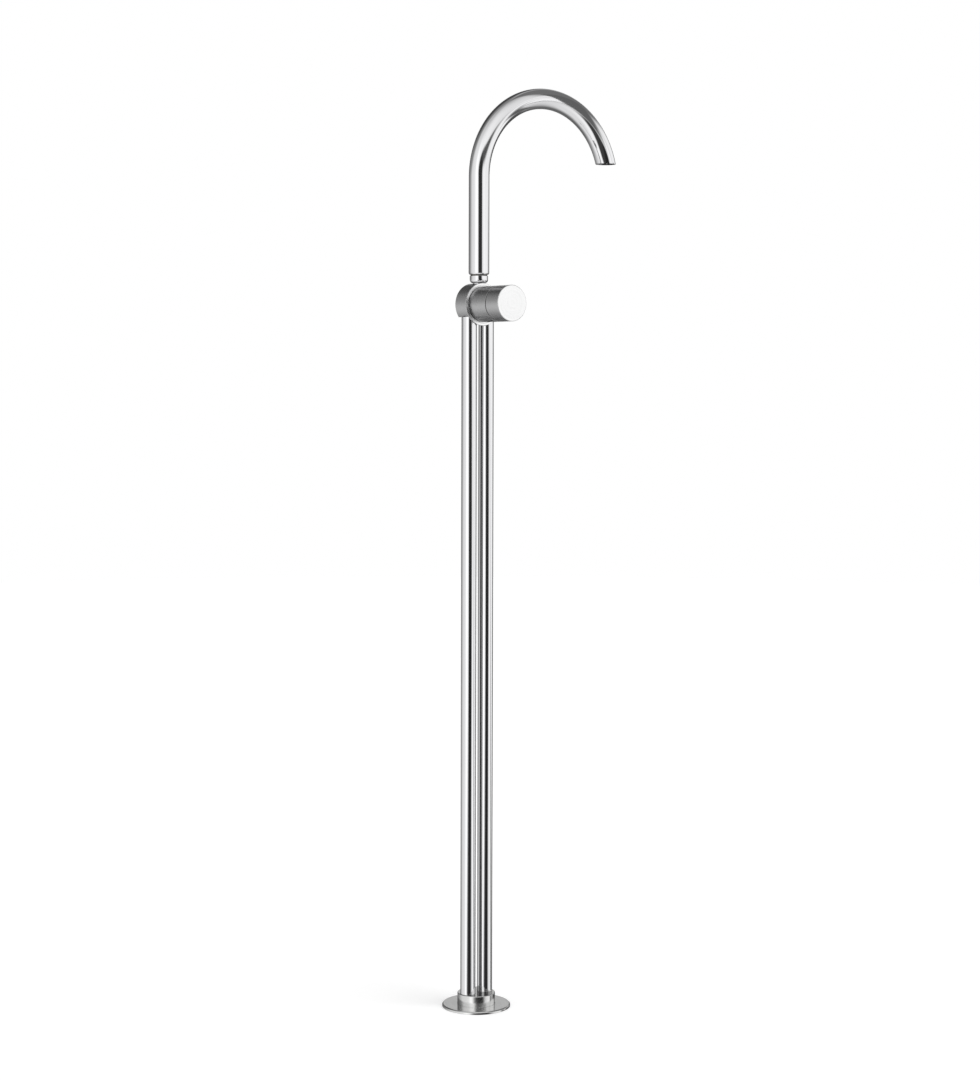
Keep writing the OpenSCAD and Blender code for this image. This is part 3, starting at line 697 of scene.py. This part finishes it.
class MIXER_OT_foot_collar(bpy.types.Operator):
    """Models the collar that holds both pipes on the rosette"""

    bl_idname = "mixer.foot_collar"
    bl_label = "Foot collar"

    wall: length("Wall", "Wall round the hub", 3.4)
    chamfer: length("Chamfer", "Chamfer on the upper edge", 0.6)

    def execute(self, context):
        r, low, top = collar_high.x, collar_low.z, collar_high.z
        bore, chamfer, web = r - self.wall / MM, self.chamfer / MM, pipe_low.z - COLLAR_WEB
        piece = turned("foot_collar_ring", [
            (0, web), (bore, web), (bore, low), (r, low), (r, top - chamfer), (r - chamfer, top), (0, top),
        ], steps=BASE_STEPS, soft=0.75, closed=False)
        fit = PIPE_R + SEAT_GAP
        flared, above = fit + PIPE_FLARE, top + 2 * EXTRA
        for side in (-1, 1):
            seat = turned("seat", [
                (0, pipe_low.z), (fit, pipe_low.z), (fit, top - PIPE_FLARE), (flared, top), (flared, above),
                (0, above),
            ], pipe_axis(side), SEAT_STEPS, closed=False)
            way = rod("way", PIPE_WAY_R, web - EXTRA, pipe_low.z + EXTRA, pipe_axis(side))
            combine(piece, [seat, way])
        height = Matrix.Translation((0, 0, middle("collar_screws", "z") * MM))
        for turn in SCREW_ANGLES:
            place = Matrix.Rotation(radians(turn), 4, "Z") @ height @ Matrix.Rotation(pi / 2, 4, "Y")
            combine(piece, [rod("screw_hole", SCREW_HOLE_R, bore - EXTRA, r + EXTRA, place)])
        complete(piece, "Base steel", "stand", ["foot_collar"])
        return {"FINISHED"}


class MIXER_OT_pipes(bpy.types.Operator):
    """Models the two upright supply pipes"""

    bl_idname = "mixer.pipes"
    bl_label = "Supply pipes"

    def execute(self, context):
        bore = PIPE_R - sizes().tube_wall / MM
        for name, side in (("hot", -1), ("cold", 1)):
            piece = ring("supply_pipe_" + name, bore, PIPE_R, pipe_low.z, pipe_high.z, pipe_axis(side),
                         soft=1.0)
            complete(piece, "Tube steel", "stand", ["pipe_" + name])
        return {"FINISHED"}


class MIXER_OT_drum(bpy.types.Operator):
    """Models the drum with its flat underside, its neck and its bores, and the ring on its face"""

    bl_idname = "mixer.drum"
    bl_label = "Drum and ring"

    back_chamfer: length("Back chamfer", "Chamfer on the drum's back edge", 0.5)
    cartridge_bore: length("Cartridge bore", "Radius of the bore for the cartridge", 17.6)
    nut_bore: length("Nut bore", "Radius of the thread for the retaining nut", 18.3)
    nut_depth: length("Nut depth", "Depth of that thread", 8.4)

    def drum(self, back, front):
        """The round drum with its flat underside, still upright on the lathe."""
        chamfer = self.back_chamfer / MM
        piece = turned("mixing_drum", [
            (0, back), (DRUM_R - chamfer, back), (DRUM_R, back + chamfer), (DRUM_R, front), (0, front),
        ], closed=False, steps=HEAD_STEPS)
        edit(piece)
        bpy.ops.mesh.bisect(plane_co=(0, -sizes().drum_flat, 0), plane_no=(0, -1, 0), use_fill=True,
                            clear_outer=True)
        soften(sizes().soft_edge)
        leave_edit()
        return piece

    def necks(self, front, ring_front):
        """The shoulder inside the ring and the neck round the cartridge, upright too."""
        neck_front, fused = along_head(body_low.y), front - NECK_OVERLAP
        seat, neck = DRUM_R - sizes().ring_width / MM - SEAT_GAP, sleeve_bore() - SLEEVE_GAP
        bore, nut, step = self.cartridge_bore / MM, self.nut_bore / MM, neck_front - self.nut_depth / MM
        stepped = [(bore, fused), (neck, fused), (neck, neck_front), (nut, neck_front), (nut, step),
                   (bore, step)]
        return [ring("shoulder", bore, seat, fused, ring_front, steps=HEAD_STEPS),
                turned("neck", stepped, steps=HEAD_STEPS, soft=0.5)]

    def holes(self):
        """The cutters for the nipples, the socket's stem, its spot face and the way out to the spout."""
        flat_z, above = HEAD_Z - sizes().drum_flat / MM, body_high.z + 4 * EXTRA
        low, high = flat_z - EXTRA, flat_z + NIPPLE_DEPTH
        return [rod("nipple_hole", NIPPLE_HOLE_R, low, high, pipe_axis(side)) for side in (-1, 1)] + [
            rod("stem_hole", STEM_HOLE_R, socket_low.z - STEM_GAP, above, spout_axis()),
            rod("spot_face", SPOT_FACE_R, washer_low.z, above, spout_axis()),
            rod("outlet_way", OUTLET_R, HEAD_Z + OUTLET_ABOVE_AXIS, socket_low.z, spout_axis())]

    def execute(self, context):
        back, front, ring_front = (along_head(y) for y in (body_high.y, ring_high.y, ring_low.y))
        piece = combine(self.drum(back, front), self.necks(front, ring_front), "UNION")
        put(piece, head_axis())
        combine(piece, self.holes())
        complete(piece, "Head steel", "stand", ["mixer_body"])
        paint_front_highlight(piece)
        bore = DRUM_R - sizes().ring_width / MM
        piece = ring("drum_ring", bore, DRUM_R, front, ring_front, head_axis(), HEAD_STEPS, 1.0)
        complete(piece, "Head steel", "stand", ["front_ring"])
        paint_front_highlight(piece)
        return {"FINISHED"}


class MIXER_OT_knob(bpy.types.Operator):
    """Models the fixed sleeve and the knob that turns in front of it"""

    bl_idname = "mixer.knob"
    bl_label = "Sleeve and knob"

    wall: length("Wall", "Wall of the knob", 2.5)
    end: length("End", "Thickness of the knob's closed end", 4.5)
    hub: length("Hub", "Radius of the knob's inner hub", 12.0)
    insert_bore: length("Insert bore", "Radius of the bore for the splined insert", 7.05)
    skirt: length("Skirt", "Length of the knob's skirt inside the sleeve", 2.5)
    chamfer: length("Chamfer", "Chamfer on the knob's end", 0.4)
    # Painted shade: this chamfer on the knob's back edge is painted dark as the shade in the gap
    groove_side: length("Groove side", "Width of the shade-painted chamfer on the knob's back edge", 0.55)
    groove_depth: length("Groove depth", "Depth of the shade-painted chamfer on the knob's back edge", 0.2)

    def sleeve(self):
        """The fixed sleeve round the neck."""
        back, front = along_head(sleeve_high.y), along_head(sleeve_low.y)
        piece = ring("knob_sleeve", sleeve_bore(), KNOB_R, back, front, head_axis(), HEAD_STEPS, 1.0)
        complete(piece, "Head steel", "stand", ["sleeve"])

    def knob(self):
        """The turning knob with its skirt, its hub and the hole for the key."""
        skirt_back, front = along_head(knob_high.y), along_head(knob_low.y)
        skirt, chamfer, hub, insert = (v / MM for v in (self.skirt, self.chamfer, self.hub, self.insert_bore))
        back, side, rim = skirt_back + skirt, self.groove_side / MM, sleeve_bore() - SLEEVE_GAP
        inner, inside, hub_back = KNOB_R - self.wall / MM, front - self.end / MM, back + skirt
        piece = turned("turning_knob", [
            (0, inside), (insert, inside), (insert, hub_back), (hub, hub_back), (hub, inside),
            (inner, inside), (inner, skirt_back), (rim, skirt_back), (rim, back),
            (KNOB_R - self.groove_depth / MM, back), (KNOB_R, back + side), (KNOB_R, front - chamfer),
            (KNOB_R - chamfer, front), (0, front),
        ], head_axis(), HEAD_STEPS, 1.0, closed=False)
        place = Matrix.Translation(Vector((0, middle("knob_screw", "y"), HEAD_Z)) * MM)
        combine(piece, [rod("key_hole", KEY_HOLE_R, -KNOB_R - EXTRA, -insert + EXTRA, place)])
        complete(piece, "Head steel", "handle", ["knob"])
        paint_front_highlight(piece)
        # Painted shade: the skirt and the back chamfer are painted dark, where shade falls in the gap behind
        # the knob
        groove = (SPOUT_Y - back - side) * MM
        give_faces(piece, "Blackened steel", lambda f: f.calc_center_median().y > groove)

    def execute(self, context):
        self.sleeve()
        self.knob()
        return {"FINISHED"}


class MIXER_OT_socket(bpy.types.Operator):
    """Models the socket that the spout turns in, and its dark bearing ring"""

    bl_idname = "mixer.socket"
    bl_label = "Spout socket"

    rounding: length("Rounding", "Rounding of the socket's lower edge", 4.3)
    bore: length("Bore", "Radius of the bore for the spigot", 7.55)
    cup_rise: length("Cup rise", "Height of the cup's floor above the socket's lower edge", 1.0)

    def execute(self, context):
        r, low, top, seat = socket_high.x, socket_low.z, socket_high.z, washer_high.z + SEAT_GAP
        rounding, bore = self.rounding / MM, self.bore / MM
        neck, skirt = r - rounding, HEAD_Z + DRUM_R + SEAT_GAP
        cup = skirt + self.cup_rise / MM
        angles = [radians(90 * i / ROUNDING_STEPS) for i in range(ROUNDING_STEPS + 1)]
        curve = [(neck + rounding * sin(a), skirt + rounding * (1 - cos(a))) for a in angles]
        outline = [(OUTLET_R, low), (STEM_R, low), (STEM_R, seat), (neck, seat)] + curve + [
            (r, top - SOCKET_CHAMFER), (r - SOCKET_CHAMFER, top), (bore, top), (bore, cup), (OUTLET_R, cup)]
        piece = turned("spout_socket_cup", outline, spout_axis(), soft=0.6)
        place = (Matrix.Translation(Vector((0, SPOUT_Y, middle("lock_screw", "z"))) * MM)
                 @ Matrix.Rotation(-pi / 2, 4, "X"))
        combine(piece, [rod("lock_hole", SCREW_HOLE_R, bore - EXTRA, r + 2 * EXTRA, place)])
        complete(piece, "Socket steel", "stand", ["spout_socket"])
        piece = ring("swivel_bearing", bore, swivel_high.x, swivel_low.z, swivel_high.z, spout_axis(),
                     soft=0.75)
        complete(piece, "Dark resin", "spout", ["swivel_ring"])
        return {"FINISHED"}


class MIXER_OT_spout(bpy.types.Operator):
    """Bends the spout tube and cuts its mouth level"""

    bl_idname = "mixer.spout"
    bl_label = "Spout tube"

    foot_chamfer: length("Foot chamfer", "Chamfer round the tube's foot", 1.0)
    sweep: angle("Sweep", "Angle of the bend before the mouth is cut", 174)

    def bent_skin(self):
        """The outside of the bent tube, open at both ends."""
        chamfer, bend, bend_z = self.foot_chamfer, sizes().bend_radius, bend_height()
        deselect()
        bpy.ops.mesh.primitive_circle_add(vertices=TUBE_SIDES, radius=SPOUT_R * MM - chamfer,
                                          location=(0, SPOUT_Y * MM, tube_low.z * MM))
        piece = begin("swan_neck")
        edit(piece)
        grown, foot = SPOUT_R * MM / (SPOUT_R * MM - chamfer), FOOT_SLOPE * chamfer
        extrude(0, 0, foot)
        bpy.ops.transform.resize(value=(grown, grown, 1), center_override=(0, SPOUT_Y * MM, 0))
        rise = bend_z - tube_low.z * MM - foot
        for part in UPRIGHT_PARTS:
            extrude(0, 0, rise * part)
        bpy.ops.mesh.spin(steps=BEND_STEPS, angle=self.sweep, axis=(0, -1, 0),
                          center=(bend, SPOUT_Y * MM, bend_z))
        join_up()
        leave_edit()
        return piece

    def execute(self, context):
        piece, mouth, foot = self.bent_skin(), sizes().mouth_height, tube_low.z * MM
        wall = piece.modifiers.new("wall", "SOLIDIFY")
        wall.thickness, wall.offset, wall.use_rim = sizes().tube_wall, -1, False
        bpy.ops.object.modifier_apply(modifier=wall.name)
        edit(piece)
        pick("FACE", lambda f: f.calc_center_median().x > sizes().bend_radius)
        bpy.ops.mesh.bisect(plane_co=(0, 0, mouth), plane_no=(0, 0, -1), clear_outer=True)
        near = SAME_HEIGHT * MM
        for test in (lambda z: abs(z - mouth) < near, lambda z: z < foot + near):
            pick("EDGE", lambda e: e.is_boundary and all(test(v.co.z) for v in e.verts))
            bpy.ops.mesh.bridge_edge_loops()
        face_outwards()
        soften(sizes().soft_edge)
        leave_edit()
        complete(piece, "Spout steel", "spout", ["spout_tube"])
        return {"FINISHED"}


class MIXER_OT_inner_pieces(bpy.types.Operator):
    """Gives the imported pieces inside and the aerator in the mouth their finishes"""

    bl_idname = "mixer.inner_pieces"
    bl_label = "Inner pieces"

    def execute(self, context):
        coat_packed("Base steel", "base_plate")
        coat_packed("Screw steel", "collar_screws", "knob_screw", "lock_screw")
        coat_packed("Brass", "inlet_bush_hot", "inlet_bush_cold", "nipple_hot", "nipple_cold",
                    "retaining_nut", "spindle", "spout_spigot", "mouth_bush")
        coat_packed("Rubber", "nipple_orings", "sleeve_oring", "port_seals", "spindle_oring", "spigot_orings",
                    "aerator_seal")
        coat_packed("Resin", "cartridge_base", "cartridge_housing", "aerator_housing")
        coat_packed("Dark resin", "disc_carrier", "knob_insert", "socket_washer", "aerator_screen")
        coat_packed("Ceramic", "fixed_disc", "moving_disc")
        return {"FINISHED"}


# Studio

# What the metal mirrors: soft panels and dark gaps, laid over one another in this order. Each has its
# middle round from the camera and up from level, half its width and height, its tilt, all in degrees,
# then its softness, its squareness from 2, an ellipse, upwards, and its brightness
PANELS = {
    "dim corner behind on the left": (-134, 58, 47, 69, 10, 0.55, 2, 0.25),
    "dim wall behind on the right": (183, -33, 65, 36, -3, 1.1, 2, 0.15),
    "dark screen high on the right": (119.5, 55, 43, 33, -2, 0.3, 8, 0.18),
    "dark corner high behind on the left": (-155, 42, 40, 24, 0, 0.9, 2, 0.06),
    "dark room behind": (184, 8, 40, 19, 0, 0.6, 2, 0.13),
    "pale wall behind": (180, 17, 9, 6, 0, 0.6, 2, 0.6),
    "large lamp left of the camera": (-1, 14, 54, 43, 35, 1.55, 2, 1.07),
    "bright floor before the mixer": (-8, -44, 72, 21, 0, 1.0, 2, 1.09),
    "strip lamp beside the camera": (-27, -5, 15, 40, 0, 0.8, 2, 1.25),
    "black flag below the camera": (18, -26, 41, 18, 0, 0.5, 2, 0.05),
    "black flag in front": (24, -7, 24, 11, 0, 0.35, 2, 0.02),
    "black flag beside the camera": (14, 9, 23, 15, 0, 0.55, 2, 0.03),
    "thin dark edge over that flag": (42, 15.5, 26, 5.5, -10, 0.8, 2, 0.1),
    "bright gap in that flag": (66, 3.5, 22.5, 4, -8, 1.5, 2, 1.12),
    "upper lamp on the right": (106, 10, 24, 9, 22, 0.8, 2, 1.05),
    "pale strip over the lower lamp": (80, 15, 14, 5, 0, 0.8, 2, 1.0),
    "lower lamp on the right": (91, -8, 33, 10, 0, 0.35, 2, 1.1),
    "dark edge low on the right": (110, -21, 32, 4.5, -32, 0.9, 2, 0.12),
    "dark corner low on the right": (131, -17, 12, 9, 0, 0.6, 2, 0.1),
    "dark gap behind on the right": (150, -8, 24, 14, 0, 0.6, 2, 0.08),
}
# The sockets that take these numbers
PANEL_SOCKETS = ("Middle round", "Middle up", "Half width", "Half height", "Tilt", "Softness", "Squareness",
                 "Brightness")
ROOM_LEVEL = 0.82
# Brightness straight up and straight down, and the heights that the room's level fades between
CEILING = (0.24, 20, 118)
GROUND = (0.85, -47, -70)
# How strongly the world lights what isn't metal
AMBIENT = 0.62

# The black card beside the spout's end, in metres: its middle, the way it faces, in degrees from the camera,
# and its corners in its own plane. It fades out to the right, along an edge that leans, and downwards
CARD_MIDDLE = (0.2115, -0.1171, 1.1157)
CARD_TURN, CARD_RISE = 68.0, -4.0
CARD_OUTLINE = ((-0.015, -0.052), (0.030, -0.052), (0.190, 0.150), (-0.024, 0.150), (-0.015, 0.060))
CARD_SLANT = 0.75
CARD_RIGHT_FADE = (0.026, 0.062)
CARD_LOWER_FADE = (-0.050, -0.030)
CARD_LEVEL = 0.135

# The floor, in metres, a little under the mixer
FLOOR_R, FLOOR_Z, FLOOR_SIDES = 6.0, -0.0002, 96
FLOOR_COLOUR = (0.88, 0.88, 0.88, 1.0)
FLOOR_GLOW = 0.25

# Soft lamps: round from the camera, up from level and how wide they are, in degrees, then their strength
LAMPS = {"key": (62, 52, 40, 0.9), "fill": (-58, 35, 60, 0.4)}
LAMP_DISTANCE = 3

SENSOR_WIDTH, CLIP_END = 36.0, 50.0


def soft_panel():
    """The group that lays one soft panel over the studio's brightness."""
    sheet, into, out = node_group(
        "Soft panel", [(name, "NodeSocketFloat", 1.0) for name in ("Level", "Round", "Up") + PANEL_SOCKETS],
        [("Level", "NodeSocketFloat")])
    beside = sheet.math("WRAP", sheet.minus(into["Round"], into["Middle round"]), 180.0, -180.0)
    above = sheet.minus(into["Up"], into["Middle up"])
    tilt = sheet.math("RADIANS", into["Tilt"])
    c, s = sheet.math("COSINE", tilt), sheet.math("SINE", tilt)
    across = sheet.plus(sheet.times(beside, c), sheet.times(above, s))
    upward = sheet.minus(sheet.times(above, c), sheet.times(beside, s))
    parts = []
    for offset, half in ((across, "Half width"), (upward, "Half height")):
        share_of_half = sheet.math("ABSOLUTE", sheet.over(offset, into[half]))
        parts.append(sheet.math("POWER", share_of_half, into["Squareness"]))
    reach = sheet.math("POWER", sheet.plus(*parts), sheet.over(1.0, into["Squareness"]))
    depth = sheet.over(sheet.minus(1.0, reach), into["Softness"])
    mask = sheet.fade(depth, -0.5, 0.5)
    kept = sheet.times(into["Level"], sheet.minus(1.0, mask))
    sheet.feed(out["Level"], sheet.plus(kept, sheet.times(into["Brightness"], mask)))


def studio_world(azimuth):
    """White to the eye, soft light on the object, and panels and dark gaps in what metal reflects."""
    world = bpy.data.worlds.new("Studio")
    bpy.context.scene.world = world
    sheet = empty_sheet(world)
    way = sheet.add("ShaderNodeTexCoord").outputs["Generated"]
    to_camera = (sin(azimuth), -cos(azimuth), 0.0)
    to_right = (cos(azimuth), sin(azimuth), 0.0)
    turn = sheet.math("DEGREES", sheet.math("ARCTAN2", sheet.vector("DOT_PRODUCT", way, to_right),
                                            sheet.vector("DOT_PRODUCT", way, to_camera)))
    rise = sheet.math("DEGREES", sheet.math("ARCSINE", sheet.split(way)[2]))
    brightness, low, high = CEILING
    level = sheet.fade(rise, low, high, ROOM_LEVEL, brightness)
    brightness, low, high = GROUND
    down = sheet.fade(sheet.times(rise, -1.0), -low, -high)
    level = sheet.plus(sheet.times(level, sheet.minus(1.0, down)), sheet.times(down, brightness))
    soft_panel()
    for name, values in PANELS.items():
        panel = dict(zip(PANEL_SOCKETS, values))
        level = sheet.group("Soft panel", Level=level, Round=turn, Up=rise, **panel)["Level"]
        level.node.label = name
    rays = sheet.add("ShaderNodeLightPath").outputs
    mirrored = sheet.math("MAXIMUM", rays["Is Glossy Ray"], rays["Is Transmission Ray"])
    seen = rays["Is Camera Ray"]
    level = sheet.plus(seen, sheet.times(mirrored, level))
    rest = sheet.minus(1.0, sheet.math("MAXIMUM", seen, mirrored))
    level = sheet.plus(level, sheet.times(rest, AMBIENT))
    light = sheet.node("ShaderNodeBackground", Color=(1.0, 1.0, 1.0, 1.0), Strength=level)
    sheet.node("ShaderNodeOutputWorld", Surface=light[0])


def floor_material():
    """A pale floor that reads as white and keeps the mixer's shadow."""
    material = bpy.data.materials.new("Studio floor")
    sheet = empty_sheet(material)
    rays = sheet.add("ShaderNodeLightPath").outputs
    direct = sheet.math("MAXIMUM", rays["Is Camera Ray"], rays["Is Glossy Ray"])
    plain = sheet.node("ShaderNodeBsdfDiffuse", Color=FLOOR_COLOUR)[0]
    glow = sheet.node("ShaderNodeEmission", Strength=sheet.times(direct, FLOOR_GLOW))[0]
    both = sheet.fill_all(sheet.add("ShaderNodeAddShader"), plain, glow)
    sheet.node("ShaderNodeOutputMaterial", Surface=both)
    return material


def card_material():
    """A black card that fades out along its lower and its right edge."""
    material = bpy.data.materials.new("Studio card")
    sheet = empty_sheet(material)
    x, y, _ = sheet.split(sheet.add("ShaderNodeTexCoord").outputs["Object"])
    past_edge = sheet.minus(x, sheet.times(y, CARD_SLANT))
    inside = sheet.times(sheet.fade(past_edge, *CARD_RIGHT_FADE, 1.0, 0.0), sheet.fade(y, *CARD_LOWER_FADE))
    clear = sheet.node("ShaderNodeBsdfTransparent")[0]
    dark = sheet.node("ShaderNodeEmission", Strength=CARD_LEVEL)[0]
    both = sheet.fill_all(sheet.add("ShaderNodeMixShader"), inside, clear, dark)
    sheet.node("ShaderNodeOutputMaterial", Surface=both)
    return material


def way_out(turn, rise):
    """The way from the mixer to a place turned round from the knob's side and raised, in radians."""
    return Vector((sin(turn) * cos(rise), -cos(turn) * cos(rise), sin(rise)))


def studio_card(azimuth):
    """Sets a black card beside the spout's end, which only shows in what metal reflects."""
    deselect()
    bpy.ops.mesh.primitive_circle_add(vertices=len(CARD_OUTLINE), fill_type="NGON")
    card = begin("studio_card")
    for vertex, (x, y) in zip(card.data.vertices, CARD_OUTLINE):
        vertex.co = Vector((x, y, 0.0))
    turn = azimuth + radians(CARD_TURN)
    facing = way_out(turn, radians(CARD_RISE))
    across = Vector((cos(turn), sin(turn), 0.0))
    upward = facing.cross(across)
    frame_of_card = Matrix((across, upward, facing)).transposed().to_4x4()
    card.matrix_world = Matrix.Translation(CARD_MIDDLE) @ frame_of_card
    card.data.materials.append(card_material())
    card.visible_camera = card.visible_diffuse = card.visible_transmission = card.visible_shadow = False
    card.visible_volume_scatter = False


class MIXER_OT_studio(bpy.types.Operator):
    """Sets the pale floor, the soft lamps and the camera"""

    bl_idname = "mixer.studio"
    bl_label = "Studio"

    distance: length("Distance", "Level distance of the camera from the pipes", 2710.0)
    height: length("Camera height", "Height of the camera above the floor", 782.2)
    azimuth: angle("Azimuth", "Where the camera stands round the mixer", -36.605)
    yaw: angle("Yaw", "How far the camera looks past the pipes", -0.332)
    pitch: angle("Pitch", "How far the camera looks down", 2.91)
    roll: angle("Roll", "How far the camera leans", 0.15)
    lens: bpy.props.FloatProperty(name="Lens", description="Focal length in millimetres", default=73.0)
    shift: bpy.props.FloatProperty(name="Shift", description="Upward shift of the frame", default=-0.0444)

    def execute(self, context):
        scene = context.scene
        deselect()
        bpy.ops.mesh.primitive_circle_add(vertices=FLOOR_SIDES, radius=FLOOR_R, fill_type="NGON",
                                          location=(0, 0, FLOOR_Z))
        floor = begin("studio_floor")
        floor.data.materials.append(floor_material())
        floor.visible_glossy = False
        studio_card(self.azimuth)
        camera = bpy.data.objects.new("studio_camera", bpy.data.cameras.new("studio_camera"))
        scene.collection.objects.link(camera)
        stand = Vector((sin(self.azimuth) * self.distance, -cos(self.azimuth) * self.distance, self.height))
        camera.matrix_world = (
            Matrix.Translation(stand) @ Matrix.Rotation(self.azimuth + self.yaw, 4, "Z")
            @ Matrix.Rotation(pi / 2 - self.pitch, 4, "X") @ Matrix.Rotation(self.roll, 4, "Z"))
        camera.data.lens, camera.data.sensor_width = self.lens, SENSOR_WIDTH
        camera.data.shift_y, camera.data.clip_end = self.shift, CLIP_END
        scene.camera = camera
        for name, (turn, rise, width, strength) in LAMPS.items():
            light = bpy.data.lights.new(name, "SUN")
            light.energy, light.angle = strength, radians(width)
            lamp = bpy.data.objects.new(name, light)
            scene.collection.objects.link(lamp)
            way = way_out(self.azimuth + radians(turn), radians(rise))
            facing = way.to_track_quat("Z", "Y").to_matrix().to_4x4()
            lamp.matrix_world = Matrix.Translation(way * LAMP_DISTANCE) @ facing
            lamp.visible_glossy = False
        studio_world(self.azimuth)
        scene.view_settings.view_transform = "Standard"
        return {"FINISHED"}


OPERATORS = (
    MIXER_OT_rosette, MIXER_OT_foot_collar, MIXER_OT_pipes, MIXER_OT_drum, MIXER_OT_knob, MIXER_OT_socket,
    MIXER_OT_spout, MIXER_OT_inner_pieces, MIXER_OT_studio,
)


class MIXER_PT_panel(bpy.types.Panel):
    """Lists the mixer's operators, sizes and finishes"""

    bl_idname = "MIXER_PT_panel"
    bl_label = "Basin mixer"
    bl_space_type = "VIEW_3D"
    bl_region_type = "UI"
    bl_category = "Mixer"

    def draw(self, context):
        for operator in OPERATORS:
            self.layout.operator(operator.bl_idname)
        for group in (context.scene.mixer_sizes, context.scene.mixer_finish):
            box = self.layout.box()
            for name in group.bl_rna.properties.keys():
                if name not in ("name", "rna_type"):
                    box.prop(group, name)


CLASSES = (MixerSizes, MixerFinish) + OPERATORS + (MIXER_PT_panel,)


def register():
    for made in CLASSES:
        bpy.utils.register_class(made)
    bpy.types.Scene.mixer_sizes = bpy.props.PointerProperty(type=MixerSizes)
    bpy.types.Scene.mixer_finish = bpy.props.PointerProperty(type=MixerFinish)


def unregister():
    del bpy.types.Scene.mixer_sizes
    del bpy.types.Scene.mixer_finish
    for made in reversed(CLASSES):
        bpy.utils.unregister_class(made)


def main():
    register()
    for operator in OPERATORS:
        group, name = operator.bl_idname.split(".")
        getattr(getattr(bpy.ops, group), name)()


if __name__ == "__main__":
    main()
